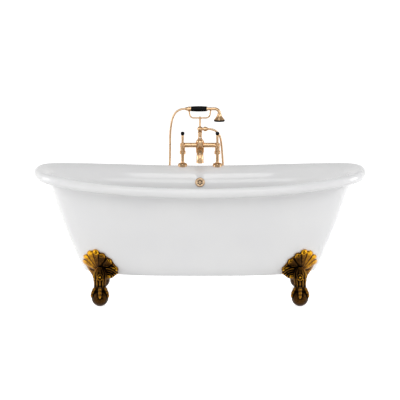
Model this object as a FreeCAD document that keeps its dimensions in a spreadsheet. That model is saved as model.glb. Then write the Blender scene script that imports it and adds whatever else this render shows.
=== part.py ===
import FreeCAD, Part
import Sketcher
import math
import os

V = FreeCAD.Vector
os.makedirs("parts", exist_ok=True)
doc = FreeCAD.newDocument("bathtub")

# ---------------------------------------------------------------- driving sizes, mm and degrees
SIZES = (
    # the bath itself
    ("tub_length", 1700, "rolled rim, end to end"),
    ("tub_width", 750, "rolled rim, side to side"),
    ("rim_height", 625, "crest of the rim at the middle of a side"),
    ("rim_rise", 48, "how much higher the rim is at the ends"),
    ("roll_radius", 25, "half the height of the rolled rim"),
    ("rim_overhang", 72, "rim beyond the outer skin"),
    ("base_length", 1196, "outer skin just above its bottom edge"),
    ("base_width", 462, "outer skin just above its bottom edge"),
    ("base_height", 150, "floor to the flat underside"),
    ("base_edge", 14, "radius of the bottom edge"),
    ("basin_floor", 205, "height of the flat floor inside"),
    ("basin_floor_length", 800, "flat part of the floor"),
    ("basin_floor_width", 300, "flat part of the floor"),
    ("pipe_space", 36, "cavity between basin and skin, along the sides"),
    ("end_space", 40, "cavity between basin and skin, at the ends"),
    ("basin_wall", 8, "thickness of the basin"),
    ("skin_wall", 5, "thickness of the outer skin"),
    ("rim_ledge", 68, "width of the flat under the roll"),
    ("bond_gap", 0.4, "resin line between pieces that are bonded or seated"),
    # the base and the feet
    ("board_thickness", 18, "baseboard"),
    ("board_margin", 94, "baseboard inside the base of the skin"),
    ("board_corner", 45, "corner cut of the baseboard"),
    ("bearer_width", 40, "timber bearer under the basin"),
    ("bearer_length", 210, "timber bearer"),
    ("bearer_pitch", 190, "spacing of the bearers"),
    ("foot_inset", 88, "centre of a foot from the end of the base"),
    ("foot_stance", 19, "centre of a foot outside the side of the base"),
    ("ball_radius", 43, "ball under the claw"),
    ("ball_flat", 0.5, "depth of the flat the ball stands on"),
    ("plate_thickness", 11, "shell plate of a foot"),
    ("plate_height", 285, "top of the shell plate above the floor"),
    ("plate_reach", 94, "half the width of the shell plate"),
    ("ankle_radius", 29, "foot above the ball"),
    ("plate_depth", 100, "shell plate inwards from the foot's centre"),
    ("plate_drop", 30, "shell plate below the flat underside of the bath"),
    ("lug_margin", 5, "lug of a foot round its washer"),
    ("stud_along", 35, "stud of a foot from the foot's centre, lengthways"),
    ("stud_across", 145, "stud of a foot from the foot's centre, inwards"),
    ("stud_radius", 6, "M12 stud"),
    ("stud_hole", 6.5, "clearance hole of the M12 stud"),
    ("stud_length", 53, "M12 stud"),
    ("lug_thickness", 14, "lug of a foot under the bath"),
    ("nut_flats", 19, "M12 nut, across flats"),
    ("nut_height", 10, "M12 nut"),
    ("washer_radius", 12, "M12 washer"),
    ("washer_height", 2.5, "M12 washer"),
    ("insert_radius", 9, "threaded insert in the baseboard"),
    # waste and overflow
    ("waste_flange_radius", 36, "visible ring of the waste"),
    ("waste_flange_height", 3, "visible ring of the waste"),
    ("waste_throat", 23.5, "outside of the waste's threaded throat"),
    ("waste_bore", 19.5, "way through the waste"),
    ("waste_body_radius", 33, "body under the basin"),
    ("waste_tail_radius", 23.9, "1 1/2 inch BSP tail"),
    ("waste_tail_bore", 18, "way through the tail"),
    ("waste_tail_end", 118, "height of the tail's end above the floor"),
    ("waste_thread", 28, "free thread of the tail"),
    ("waste_gasket", 3, "rubber between basin and waste body"),
    ("plug_radius", 31, "domed plug"),
    ("plug_lift", 9, "travel of the plug"),
    ("plug_stem", 4, "stem of the plug"),
    ("running_gap", 0.05, "radial clearance of a turning or sliding fit"),
    ("overflow_radius", 25, "overflow grille"),
    ("overflow_hole", 17, "hole through the basin wall, radius"),
    ("overflow_ring", 10.8, "circle of the six grille holes"),
    ("overflow_drill", 4.3, "grille hole"),
    ("screw_radius", 2, "screw of the overflow grille"),
    ("screw_head", 4.5, "screw of the overflow grille"),
    ("overflow_gasket", 5, "rubber between basin wall and elbow"),
    ("elbow_radius", 22, "overflow elbow behind the wall"),
    ("elbow_depth", 17, "overflow elbow behind the wall"),
    ("pipe_radius", 12.5, "overflow pipe"),
    ("pipe_bore", 10, "overflow pipe"),
    ("spigot_length", 24, "spigot below the overflow elbow"),
    # bath and shower mixer
    ("mixer_inset", 5, "mixer inside the crest of the rim"),
    ("tap_centres", 180, "hot to cold"),
    ("seal_height", 3.5, "rubber seat inside a mixer flange"),
    ("flange_radius", 24, "mixer flange on the rim"),
    ("flange_skirt", 3, "skirt of a mixer flange, cut to the roll of the rim"),
    ("seat_depth", 14, "how far a mixer flange reaches down the roll"),
    ("pillar_radius", 8.2, "mixer pillar"),
    ("tail_radius", 13.2, "3/4 inch BSP tail"),
    ("tail_length", 98, "tail under the flange"),
    ("inlet_length", 28, "free thread of the tail, under its backnut"),
    ("tap_hole", 14.5, "hole through the rim"),
    ("tail_flats", 36, "backnut across flats"),
    ("tail_nut_height", 9, "backnut"),
    ("tail_washer_radius", 20, "washer over the backnut"),
    ("waterway", 6, "bore of the mixer's pipes"),
    ("bar_rise", 108, "crossbar above the rim's crest"),
    ("bar_radius", 12.5, "crossbar"),
    ("union_radius", 15.5, "ring nut on a pillar"),
    ("union_height", 16, "ring nut on a pillar"),
    ("union_drop", 36, "joint under a ring nut, below the crossbar"),
    ("centre_radius", 21, "centre body"),
    ("centre_top", 30, "centre body above the crossbar"),
    ("centre_drop", 47, "centre body below the crossbar"),
    ("valve_radius", 13.5, "valve bonnet"),
    ("valve_front", 22, "front of the valve housing from the crossbar's axis"),
    ("spindle_radius", 4, "valve spindle"),
    ("lever_hub", 9.5, "hub of a lever"),
    ("lever_gap", 4, "hub of a lever in front of its valve housing"),
    ("lever_depth", 13, "hub of a lever"),
    ("lever_arm", 6.4, "arm of a lever"),
    ("lever_reach", 57, "lever arm above the spindle"),
    ("lever_cap_height", 18, "black cap"),
    ("lever_cap_radius", 10, "black cap"),
    ("spout_reach", 95, "spout forward of the crossbar"),
    ("spout_drop", 78, "spout mouth below the crossbar"),
    ("spout_radius", 17, "spout"),
    ("spout_mouth", 19.5, "spout mouth"),
    ("spout_wall", 3, "spout"),
    ("neck_radius", 9.7, "riser above the centre body"),
    ("neck_height", 38, "riser up to the tee"),
    ("tee_radius", 14, "ball of the tee"),
    ("post_radius", 4.9, "post of the cradle"),
    ("post_height", 44, "tee to cradle"),
    ("diverter_radius", 8, "diverter knob"),
    ("outlet_radius", 8, "shower outlet"),
    ("outlet_reach", 24, "outlet from the riser's axis"),
    # handset and hose
    ("handset_rise", 190, "handset's axis above the crossbar's"),
    ("grip_radius", 12.5, "grip at its ends"),
    ("grip_belly", 14.5, "grip at its middle"),
    ("grip_start", 47, "grip to the left of the riser"),
    ("grip_end", 35, "grip to the right of the riser"),
    ("ferrule_length", 4, "ring at each end of the grip"),
    ("cradle_rod", 3.8, "rod of the cradle"),
    ("saddle_wall", 3, "saddle of the cradle"),
    ("rest_gap", 0.4, "saddle round the handset"),
    ("handle_radius", 8, "handset tube"),
    ("handle_bore", 5.5, "handset tube"),
    ("handle_end", 77, "where the tube starts its bend"),
    ("handle_bend", 23, "bend of the handset tube"),
    ("bell_height", 26, "rose bell"),
    ("rose_radius", 28.5, "rim of the rose"),
    ("rose_band", 9, "rim of the rose"),
    ("cone_length", 26, "hose union on the handset"),
    ("hose_radius", 5.5, "shower hose"),
    ("hose_bottom", 261, "lowest bend of the hose above the floor"),
    ("hose_bulge", 86, "hanging hose beyond each of its ends"),
    ("hose_clearance", 21, "hanging hose behind the rim"),
)
sheet = doc.addObject("Spreadsheet::Sheet", "Sizes")
for row, (name, value, note) in enumerate(SIZES, 1):
    sheet.set(f"A{row}", name)
    sheet.set(f"B{row}", str(value))
    sheet.setAlias(f"B{row}", name)
    sheet.set(f"C{row}", note)
doc.recompute()


def formula(value):
    """Text of a value in a sheet formula."""
    return value.text if isinstance(value, Size) else format(float(value), ".6g")


class Size(float):
    """A size in mm that keeps the sheet formula it comes from."""

    def __new__(cls, value, text):
        size = float.__new__(cls, value)
        size.text = text
        return size

    def __add__(self, other):
        return Size(float(self) + float(other), f"({self.text} + {formula(other)})")

    def __radd__(self, other):
        return Size(float(other) + float(self), f"({formula(other)} + {self.text})")

    def __sub__(self, other):
        return Size(float(self) - float(other), f"({self.text} - {formula(other)})")

    def __rsub__(self, other):
        return Size(float(other) - float(self), f"({formula(other)} - {self.text})")

    def __mul__(self, other):
        return Size(float(self) * float(other), f"({self.text} * {formula(other)})")

    __rmul__ = __mul__

    def __truediv__(self, other):
        return Size(float(self) / float(other), f"({self.text} / {formula(other)})")

    def __neg__(self):
        return Size(-float(self), f"(0 - {self.text})")


class Sizes:
    """The sheet's sizes by name."""


for name, value, note in SIZES:
    setattr(Sizes, name, Size(sheet.get(name), f"Sizes.{name}"))
S = Sizes
nodes = []


def node(obj, label):
    """Keeps an object as the sub-part of that name."""
    obj.Label = label
    nodes.append(obj)
    return obj


def place(obj, spot=(0, 0, 0), axis=(0, 0, 1)):
    """Puts an object's own Z along an axis, its origin at a spot tied to the sheet."""
    turn = FreeCAD.Rotation(V(0, 0, 1), V(*axis))
    obj.Placement = FreeCAD.Placement(V(*spot), turn)
    for key, value in zip("xyz", spot):
        if isinstance(value, Size):
            obj.setExpression(f"Placement.Base.{key}", value.text)
    return obj


def plane(body, role):
    """One of a body's own origin planes."""
    return next(item for item in body.Origin.OriginFeatures if item.Role == role)


def outline(sketch, points):
    """Closes a polygon in a sketch and ties each corner to the sheet."""
    first = sketch.GeometryCount
    count = len(points)
    for i, (x, y) in enumerate(points):
        nx, ny = points[(i + 1) % count]
        sketch.addGeometry(Part.LineSegment(V(x, y, 0), V(nx, ny, 0)))
    for i, (x, y) in enumerate(points):
        here = first + i
        sketch.addConstraint(Sketcher.Constraint("Coincident", here, 2, first + (i + 1) % count, 1))
        for kind, axis, value in (("DistanceX", -2, x), ("DistanceY", -1, y)):
            if value == 0:
                sketch.addConstraint(Sketcher.Constraint("PointOnObject", here, 1, axis))
                continue
            at = sketch.addConstraint(Sketcher.Constraint(kind, -1, 1, here, 1, float(value)))
            if isinstance(value, Size):
                sketch.setExpression(f"Constraints[{at}]", value.text)


def circle(sketch, radius, x=0, y=0):
    """Puts a circle in a sketch, its radius tied to the sheet."""
    at = sketch.addGeometry(Part.Circle(V(x, y, 0), V(0, 0, 1), float(radius)))
    hold = sketch.addConstraint(Sketcher.Constraint("Radius", at, float(radius)))
    sketch.setExpression(f"Constraints[{hold}]", formula(radius))
    for kind, value in (("DistanceX", x), ("DistanceY", y)):
        hold = sketch.addConstraint(Sketcher.Constraint(kind, -1, 1, at, 3, float(value)))
        sketch.setExpression(f"Constraints[{hold}]", formula(value))


def body_with_sketch(label, role):
    """A body with an empty sketch on one of its own planes."""
    body = doc.addObject("PartDesign::Body", label)
    sketch = body.newObject("Sketcher::SketchObject", f"{label}_outline")
    sketch.AttachmentSupport = (plane(body, role), "")
    sketch.MapMode = "FlatFace"
    return body, sketch


def turned(label, points, spot=(0, 0, 0), axis=(0, 0, 1), keep=True):
    """A turned piece: an outline of (radius, height) points revolved about its own Z."""
    body, sketch = body_with_sketch(label, "XZ_Plane")
    outline(sketch, points)
    turn = body.newObject("PartDesign::Revolution", f"{label}_turned")
    turn.Profile = sketch
    turn.ReferenceAxis = (sketch, ["V_Axis"])
    turn.Angle = 360
    place(body, spot, axis)
    return node(body, label) if keep else body


def padded(label, points, height, spot=(0, 0, 0), axis=(0, 0, 1), holes=(), keep=True):
    """A flat piece: an outline with round holes, padded along its own Z."""
    body, sketch = body_with_sketch(label, "XY_Plane")
    outline(sketch, points)
    for radius, x, y in holes:
        circle(sketch, radius, x, y)
    pad = body.newObject("PartDesign::Pad", f"{label}_pad")
    pad.Profile = sketch
    pad.Length = float(height)
    pad.setExpression("Length", formula(height))
    place(body, spot, axis)
    return node(body, label) if keep else body


def hexagon(flats):
    """Corners of a hexagon of that width across flats."""
    half = flats / 2
    side = flats * (0.5 / math.sqrt(3))
    return ((half, side), (0, side * 2), (-half, side), (-half, -side), (0, -side * 2), (half, -side))


def primitive(kind, spot, axis=(0, 0, 1), **sizes):
    """A Part primitive with its sizes tied to the sheet."""
    obj = doc.addObject(f"Part::{kind}", kind.lower())
    for key, value in sizes.items():
        setattr(obj, key, float(value))
        obj.setExpression(key, formula(value))
    return place(obj, spot, axis)


def rod(radius, length, spot, axis=(0, 0, 1)):
    """A cylinder that starts at a spot."""
    return primitive("Cylinder", spot, axis, Radius=radius, Height=length)


def ball(radius, spot):
    """A sphere round a spot."""
    return primitive("Sphere", spot, Radius=radius)


def fused(label, shapes):
    """Several solids cast as one."""
    obj = doc.addObject("Part::MultiFuse", label)
    obj.Shapes = shapes
    return obj


def cut(label, base, tools):
    """A solid less its bores."""
    obj = doc.addObject("Part::Cut", label)
    obj.Base = base
    obj.Tool = tools[0] if len(tools) == 1 else fused(f"{label}_bores", tools)
    return obj


def group(label, members):
    """Identical pieces that share one node, as separate solids."""
    obj = doc.addObject("Part::Compound", label)
    obj.Links = members
    return node(obj, label)


def shaped(label, shape, keep=True):
    """A piece whose form is made by Part functions from the sheet's sizes."""
    obj = doc.addObject("Part::Feature", label)
    obj.Shape = shape
    return node(obj, label) if keep else obj


# ---------------------------------------------------------------- plan of the bath
# one quarter of a ring's control polygon: fractions of half-length, half-width and rise
QUARTER = ((1.01, 0, 1.02), (0.98, 0.5, 0.96), (0.77, 0.77, 0.57), (0.5, 0.98, 0.2), (0, 1.01, -0.1))


def ring(level):
    """Closed curve of a level: half-length, half-width, height at mid-length, share of the rise."""
    half_length, half_width, height, share = level
    right = QUARTER + tuple((-x, y, up) for x, y, up in QUARTER[-2::-1])
    left = tuple((x, -y, up) for x, y, up in right[-2:0:-1])
    poles = [
        V(x * half_length, y * half_width, height + up * share * S.rim_rise)
        for x, y, up in right + left
    ]
    curve = Part.BSplineCurve()
    curve.buildFromPoles(poles, True, 3)
    return Part.Wire([curve.toShape()])


def between(levels, ruled=False):
    """Faces that run through the rings of some levels."""
    if ruled:
        return Part.makeLoft([ring(level) for level in levels], False, True).Faces
    steps = [math.dist(a[1:3], b[1:3]) for a, b in zip(levels, levels[1:])]
    stations = [sum(steps[:i]) / sum(steps) for i in range(len(levels))]
    around = [ring(level).Edges[0].Curve for level in levels]
    columns = []
    for poles in zip(*(curve.getPoles() for curve in around)):
        column = Part.BSplineCurve()
        column.interpolate(Points=list(poles), Parameters=stations)
        columns.append(column)
    surface = Part.BSplineSurface()
    surface.buildFromPolesMultsKnots(
        [column.getPoles() for column in columns],
        around[0].getMultiplicities(), columns[0].getMultiplicities(),
        around[0].getKnots(), columns[0].getKnots(),
        True, False, 3, 3,
    )
    return [surface.toShape()]


def closed(faces):
    """A solid inside faces that meet edge to edge."""
    shell = Part.Shell(faces)
    shell.sewShape()
    solid = Part.Solid(shell)
    if solid.Volume < 0:
        solid.reverse()
    return solid


def inset(levels, depth):
    """The levels moved into the wall by a depth, square to the wall."""
    moved = []
    for i, (half_length, half_width, height, share) in enumerate(levels):
        before = levels[max(i - 1, 0)]
        after = levels[min(i + 1, len(levels) - 1)]
        run = after[1] - before[1]
        fall = before[2] - after[2]
        if i in (0, len(levels) - 1) and abs(fall) < abs(run) / 2:
            run, fall = -1, 0
        size = depth / math.hypot(run, fall)
        side = fall * size
        moved.append((half_length + side, half_width + side, height + run * size, share))
    return moved


# ---------------------------------------------------------------- shared levels of the two skins
crest_length = S.tub_length / 2 - S.roll_radius
crest_width = S.tub_width / 2 - S.roll_radius
roll_height = S.rim_height - S.roll_radius
skin_foot = S.base_height + S.base_edge * 0.6
skin_top = S.rim_height - S.roll_radius * 2


def skin_level(up):
    """The outer skin's outside: from its bottom edge, 0, to under the rim, 1."""
    out = up + 0.2 * up * (1 - up)
    foot = (S.base_length / 2, S.base_width / 2)
    head = (S.tub_length / 2 - S.rim_overhang, S.tub_width / 2 - S.rim_overhang)
    return (
        float(foot[0] + (head[0] - foot[0]) * out),
        float(foot[1] + (head[1] - foot[1]) * out),
        float(skin_foot + (skin_top - skin_foot) * up),
        up ** 1.5,
    )


# ---------------------------------------------------------------- basin with its rolled rim
# fractions of the depth, and of the way from the crest in to the wall
FLARE = ((0.006, 0.154), (0.024, 0.39), (0.055, 0.61), (0.1, 0.8))
# fractions of the depth where the wall keeps the cavity's width from the outer skin
WALL = (0.17, 0.26, 0.4, 0.6, 0.78, 0.88)
# fractions of the depth, and of the way from the wall in to the flat floor
FLOOR = ((0.955, 0.16), (0.992, 0.54), (1, 1))
OVERFLOW_LEVEL = len(FLARE)
depth_inside = float(S.rim_height - S.basin_floor)


def wall_level(depth):
    """The basin's inside where it follows the outer skin."""
    height = float(S.rim_height) - depth * depth_inside
    length, width, height, share = skin_level((height - skin_foot) / (skin_top - skin_foot))
    length -= float(S.skin_wall + S.end_space + S.basin_wall)
    width -= float(S.skin_wall + S.pipe_space + S.basin_wall)
    return (length, width, height, share)


def mixed_level(first, last, depth, way):
    """A level part of the way between two others."""
    length = first[0] + (last[0] - first[0]) * way
    width = first[1] + (last[1] - first[1]) * way
    share = first[3] + (last[3] - first[3]) * way
    return (length, width, float(S.rim_height) - depth * depth_inside, share)


crest = (float(crest_length), float(crest_width), float(S.rim_height), 1)
flat = (float(S.basin_floor_length / 2), float(S.basin_floor_width / 2), float(S.basin_floor), 0)
inside = [mixed_level(crest, wall_level(WALL[0]), *row) for row in FLARE]
inside += [wall_level(depth) for depth in WALL]
foot_of_wall = wall_level(WALL[-1])
inside += [mixed_level(foot_of_wall, flat, *row) for row in FLOOR]
roll = []
for degrees in range(0, 181, 30):
    out = float(S.roll_radius) * math.sin(math.radians(degrees))
    up = float(S.roll_radius) * math.cos(math.radians(degrees))
    roll.append((float(crest_length) + out, float(crest_width) + out, float(roll_height) + up, 1))
under = roll[-1]
ledge = (under[0] - S.rim_ledge, under[1] - S.rim_ledge, under[2] + 1, 1)
back = [ledge] + inset(inside, float(S.basin_wall))[OVERFLOW_LEVEL:]
basin = closed(
    between(inside[::-1] + roll)
    + between([under, ledge], True)
    + between(back)
    + [Part.Face(ring(inside[-1])), Part.Face(ring(back[-1]))]
)

# the wall where the overflow sits, and the way out of the basin through it
wall = inside[OVERFLOW_LEVEL]
above = inside[OVERFLOW_LEVEL - 1]
below = inside[OVERFLOW_LEVEL + 1]
lean = math.atan2(above[1] - below[1], above[2] - below[2])
overflow_spot = V(0, wall[1], wall[2])
outward = V(0, math.cos(lean), -math.sin(lean))
inward = -outward


def drill(radius, length, spot, axis=V(0, 0, 1)):
    """A round bore centred on a spot."""
    start = V(*spot) - V(*axis) * (length / 2)
    return Part.makeCylinder(float(radius), length, start, V(*axis))


mixer_y = crest_width - S.mixer_inset
tap_spots = [(side * S.tap_centres / 2, mixer_y) for side in (-1, 1)]


def basin_near(spot, shift):
    """The basin's wall round a spot, moved by a seat's clearance."""
    reach = 2 * float(S.flange_radius)
    corner = V(*spot) - V(reach, reach, reach)
    piece = basin.common(Part.makeBox(2 * reach, 2 * reach, 2 * reach, corner))
    piece.translate(shift)
    return piece


bores = [drill(S.waste_throat + 0.5, 60, (0, 0, S.basin_floor))]
bores.append(drill(S.overflow_hole, 60, overflow_spot, outward))
bores += [drill(S.tap_hole, 160, (x, y, roll_height)) for x, y in tap_spots]
shaped("inner_shell", basin.cut(bores))

# ---------------------------------------------------------------- outer skin
def skin_levels(depth):
    """Levels of the skin's outside, moved inwards by a depth."""
    edge = float(S.base_edge) - depth
    centre_length, centre_width, centre_height, share = skin_level(0)
    arc = math.radians(66)
    centre_length -= float(S.base_edge) * math.sin(arc)
    centre_width -= float(S.base_edge) * math.sin(arc)
    centre_height = float(S.base_height + S.base_edge)
    levels = []
    for step in range(4):
        out = edge * math.sin(arc * step / 3)
        down = edge * math.cos(arc * step / 3)
        levels.append((centre_length + out, centre_width + out, centre_height - down, 0))
    for up in (0.25, 0.5, 0.75, 0.93, 1):
        length, width, height, share = skin_level(up)
        levels.append((length - depth, width - depth, height - up * float(S.bond_gap), share))
    return levels


outside = skin_levels(0)
lining = skin_levels(float(S.skin_wall))
skin = closed(
    between(outside)
    + between([outside[-1], lining[-1]], True)
    + between(lining)
    + [Part.Face(ring(outside[0])), Part.Face(ring(lining[0]))]
)
foot_x = S.base_length / 2 - S.foot_inset
foot_y = S.base_width / 2 + S.foot_stance
stud_x = foot_x - S.stud_along
stud_y = foot_y - S.stud_across
stud_spots = [(x * stud_x, y * stud_y) for x in (-1, 1) for y in (-1, 1)]
bores = [drill(S.stud_hole, 40, (x, y, S.base_height)) for x, y in stud_spots]
bores.append(drill(S.waste_tail_radius + 6, 40, (0, 0, S.base_height)))
shaped("outer_shell", skin.cut(bores))

# ---------------------------------------------------------------- base between the skins
board_bottom = S.base_height + S.skin_wall
board_top = board_bottom + S.board_thickness
half_length = S.base_length / 2 - S.board_margin
half_width = S.base_width / 2 - S.board_margin
corner = S.board_corner
board_outline = []
for sx, sy in ((1, 1), (-1, 1), (-1, -1), (1, -1)):
    long_corner = ((half_length - corner) * sx, half_width * sy)
    short_corner = (half_length * sx, (half_width - corner) * sy)
    board_outline += [short_corner, long_corner] if sx * sy > 0 else [long_corner, short_corner]
board_holes = [(S.insert_radius, x, y) for x, y in stud_spots]
board_pad = padded("baseboard_blank", board_outline, S.board_thickness, (0, 0, board_bottom),
                   holes=board_holes, keep=False)
pipe_slot = primitive("Box", (-(S.pipe_radius + 4), 0, board_bottom - 1), Length=S.pipe_radius * 2 + 8,
                      Width=half_width + 1, Height=S.board_thickness + 2)
waste_way = rod(S.waste_body_radius + 3, S.board_thickness + 2, (0, 0, board_bottom - 1))
node(cut("baseboard", board_pad, [pipe_slot, waste_way]), "baseboard")

bearers = []
bearer_height = S.basin_floor - S.basin_wall - board_top
for step in (-2, -1, 1, 2):
    spot = (S.bearer_pitch * step - S.bearer_width / 2, -(S.bearer_length / 2), board_top)
    bearers.append(primitive("Box", spot, Length=S.bearer_width, Width=S.bearer_length,
                             Height=bearer_height))
group("floor_bearers", bearers)

# ---------------------------------------------------------------- cast claw feet
# lobes of the shell plate: fractions of its half width and height over the lug, and their size
LOBES = (
    (-0.79, 0.52, 0.2),
    (-0.58, 0.8, 0.22),
    (-0.28, 0.86, 0.23),
    (0.1, 0.76, 0.23),
    (0.48, 0.6, 0.22),
    (0.8, 0.36, 0.2),
)
plate_low = float(S.base_height - S.plate_drop)
# a toe down over the ball: outwards, up and thickness, in ball radii
TOE = ((0.55, 2.12, 0.2), (0.84, 1.84, 0.25), (1.0, 1.46, 0.21), (1.05, 1.12, 0.13))
# the ankle from the plate to the ball: towards the bath in ball radii, height in ball radii,
# half width and half depth in ankle radii
ANKLE = (
    (1.44, 4.2, 1.25, 0.5),
    (1.02, 3.72, 1.24, 0.76),
    (0.5, 3.2, 1.08, 0.96),
    (0.24, 2.65, 1.0, 1.0),
    (0.09, 1.85, 1.04, 1.04),
    (0, 1.3, 1.12, 1.12),
)


def lidded(levels):
    """A solid inside the levels, closed by a flat lid over the highest."""
    length, width, height, share = levels[-1]
    lid = (length, width, height + float(S.rim_rise) + 5, 0)
    return closed(
        between(levels)
        + between([levels[-1], lid], True)
        + [Part.Face(ring(levels[0])), Part.Face(ring(lid))]
    )


def front_of(solid, x, z):
    """Where a line of sight from the front meets a solid."""
    return solid.common(Part.makeLine(V(x, -float(S.tub_width), z), V(x, 0, z))).BoundBox.YMin


def plate_point(across, up):
    """A point of the shell plate in the plane of the front, from fractions of its size."""
    reach = float(S.plate_reach)
    return (-float(foot_x) + across * reach, plate_low + up * (float(S.plate_height) - plate_low))


def link(start, end, first, last):
    """A tapered rod with round ends."""
    start = V(*start)
    end = V(*end)
    span = end - start
    cone = Part.makeCone(first, last, span.Length, start, span)
    return cone.fuse([Part.makeSphere(first * 1.03, start), Part.makeSphere(last * 1.03, end)])


def claw(turn):
    """One toe over the ball: a knuckle and a nail, turned round the ball's upright axis."""
    radius = float(S.ball_radius)
    way = math.radians(turn)
    spots = []
    for out, up, size in TOE:
        spot = V(out * radius * math.sin(way), -out * radius * math.cos(way), up * radius)
        spots.append((spot + V(-float(foot_x), -float(foot_y), 0), size * radius))
    pieces = []
    for (start, first), (end, last) in zip(spots, spots[1:]):
        pieces.append(link(start, end, first, last))
    return pieces


def claw_foot():
    """The front left foot: shell plate, ankle, ball and claw, with the lug that the stud clamps."""
    thick = float(S.plate_thickness)
    in_front = float(S.tub_width / 2)
    clear = lidded(skin_levels(-float(S.bond_gap)))
    full = lidded(skin_levels(-float(S.bond_gap) - thick))
    fan = plate_point(-0.12, 0.32)
    lobes = []
    ribs = []
    for across, up, size in LOBES:
        x, z = plate_point(across, up)
        lobe = size * float(S.plate_reach)
        lobes.append(Part.makeCylinder(lobe, in_front, V(x, -in_front, z), V(0, 1, 0)))
        start = V(fan[0], front_of(full, *fan), fan[1])
        end = V(x, front_of(full, x, z), z)
        ribs.append(link(start, end, thick * 0.45, lobe * 0.55))
    rim = [(-0.29, 0), (-0.75, 0.36), (-0.92, 0.6), (-0.62, 0.98), (-0.2, 0.97), (0.2, 0.86),
           (0.6, 0.7), (0.93, 0.42), (0.93, 0.27), (0.62, 0.16), (0.3, 0)]
    corners = [V(x, -in_front, z) for x, z in (plate_point(*point) for point in rim)]
    sheet_face = Part.Face(Part.makePolygon(corners + corners[:1]))
    outline_block = sheet_face.extrude(V(0, in_front, 0)).fuse(lobes)
    inner = float(foot_y - S.plate_depth)
    under = V(-float(S.base_length / 2), -inner, 0)
    beneath = Part.makeBox(float(foot_x), inner, float(S.base_height), under)
    plate = outline_block.common(full).cut(beneath)
    x, y = -float(foot_x), -float(foot_y)
    low = float(S.ball_radius)
    thigh = float(S.ankle_radius)
    neck_rows = []
    for back, up, wide, deep in ANKLE:
        neck_rows.append((x, y + back * low, up * low, wide * thigh, deep * thigh))
    sections = []
    for cx, cy, cz, wide, deep in neck_rows:
        ring_curve = Part.Circle(V(cx, cy, cz), V(0, 0, 1), 1)
        if wide > deep + 0.01:
            ring_curve = Part.Ellipse(V(cx + wide, cy, cz), V(cx, cy + deep, cz), V(cx, cy, cz))
        else:
            ring_curve.Radius = wide
        sections.append(Part.Wire([ring_curve.toNurbs().toShape()]))
    neck = Part.makeLoft(sections, True)
    knob = Part.makeSphere(float(S.ball_radius), V(x, y, float(S.ball_radius - S.ball_flat)))
    stud = (-float(stud_x), -float(stud_y))
    lug_low = float(S.base_height - S.lug_thickness)
    lug_reach = float(S.washer_radius + S.lug_margin)
    lug = Part.makeBox(2 * lug_reach, stud[1] - y - 34, float(S.lug_thickness),
                       V(stud[0] - lug_reach, y + 34, lug_low))
    lug = lug.fuse(Part.makeCylinder(lug_reach, float(S.lug_thickness), V(stud[0], stud[1], lug_low)))
    toes = []
    for turn in (-64, 0, 64, 180):
        toes += claw(turn)
    foot = neck.fuse([plate, knob, lug] + ribs + toes)
    slot = Part.makeCylinder(float(S.stud_hole), 60, V(stud[0], stud[1], lug_low - 20))
    ground = Part.makeBox(8 * low, 8 * low, low, V(x - 4 * low, y - 4 * low, -low))
    return foot.cut([clear, slot, ground])


foot = shaped("foot_front_left", claw_foot())
for label, source, normal in (
    ("foot_front_right", foot, V(1, 0, 0)),
    ("foot_rear_left", foot, V(0, 1, 0)),
):
    mirror = doc.addObject("Part::Mirroring", label)
    mirror.Source = source
    mirror.Normal = normal
    node(mirror, label)
mirror = doc.addObject("Part::Mirroring", "foot_rear_right")
mirror.Source = nodes[-2]
mirror.Normal = V(0, 1, 0)
node(mirror, "foot_rear_right")

lug_bottom = S.base_height - S.lug_thickness
studs = []
washers = []
nuts = []
inserts = []
for i, (x, y) in enumerate(stud_spots):
    stud_bottom = board_top - 1 - S.stud_length
    studs.append(rod(S.stud_radius, S.stud_length, (x, y, stud_bottom)))
    washer = ((S.stud_hole, 0), (S.washer_radius, 0), (S.washer_radius, S.washer_height),
              (S.stud_hole, S.washer_height))
    washers.append(turned(f"washer_{i}", washer, (x, y, lug_bottom - S.washer_height), keep=False))
    nuts.append(padded(f"nut_{i}", hexagon(S.nut_flats), S.nut_height,
                       (x, y, lug_bottom - S.washer_height - S.nut_height),
                       holes=((S.stud_radius, 0, 0),), keep=False))
    insert = ((S.stud_radius, 0), (S.insert_radius, 0), (S.insert_radius, S.board_thickness),
              (S.stud_radius, S.board_thickness))
    inserts.append(turned(f"insert_{i}", insert, (x, y, board_bottom), keep=False))
group("foot_studs", studs)
group("foot_washers", washers)
group("foot_nuts", nuts)
group("stud_inserts", inserts)

# ---------------------------------------------------------------- waste with its plug
floor = S.basin_floor
under_floor = floor - S.basin_wall
body_top = under_floor - S.waste_gasket
body_bottom = board_bottom + 5
throat_end = body_bottom + 6
bridge = throat_end + 5
flange = (
    (S.waste_bore, throat_end - floor),
    (S.waste_throat, throat_end - floor),
    (S.waste_throat, 0),
    (S.waste_flange_radius, 0),
    (S.waste_flange_radius, S.waste_flange_height / 3),
    (S.waste_flange_radius - 2, S.waste_flange_height),
    (S.waste_bore + 3, S.waste_flange_height),
    (S.waste_bore, S.waste_flange_height - 2),
)
flange_ring = turned("waste_flange_ring", flange, (0, 0, floor), keep=False)
guide = (
    (S.plug_stem + S.running_gap, throat_end),
    (S.plug_stem + 3, throat_end),
    (S.plug_stem + 3, bridge + 4),
    (S.plug_stem + S.running_gap, bridge + 4),
)
guide_boss = turned("waste_guide", guide, keep=False)
guide_arms = []
for axis in ((1, 0, 0), (-1, 0, 0)):
    start = (axis[0] * (S.plug_stem + 2), 0, throat_end + 3)
    guide_arms.append(rod(2.5, S.waste_bore - S.plug_stem - 1, start, axis))
waste_solid = fused("waste_flange_solid", [flange_ring, guide_boss] + guide_arms)
window_start = (0, -(S.waste_throat + 2), bridge + 9)
windows = rod(5, S.waste_throat * 2 + 4, window_start, (0, 1, 0))
node(cut("waste_flange", waste_solid, [windows]), "waste_flange")

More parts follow.
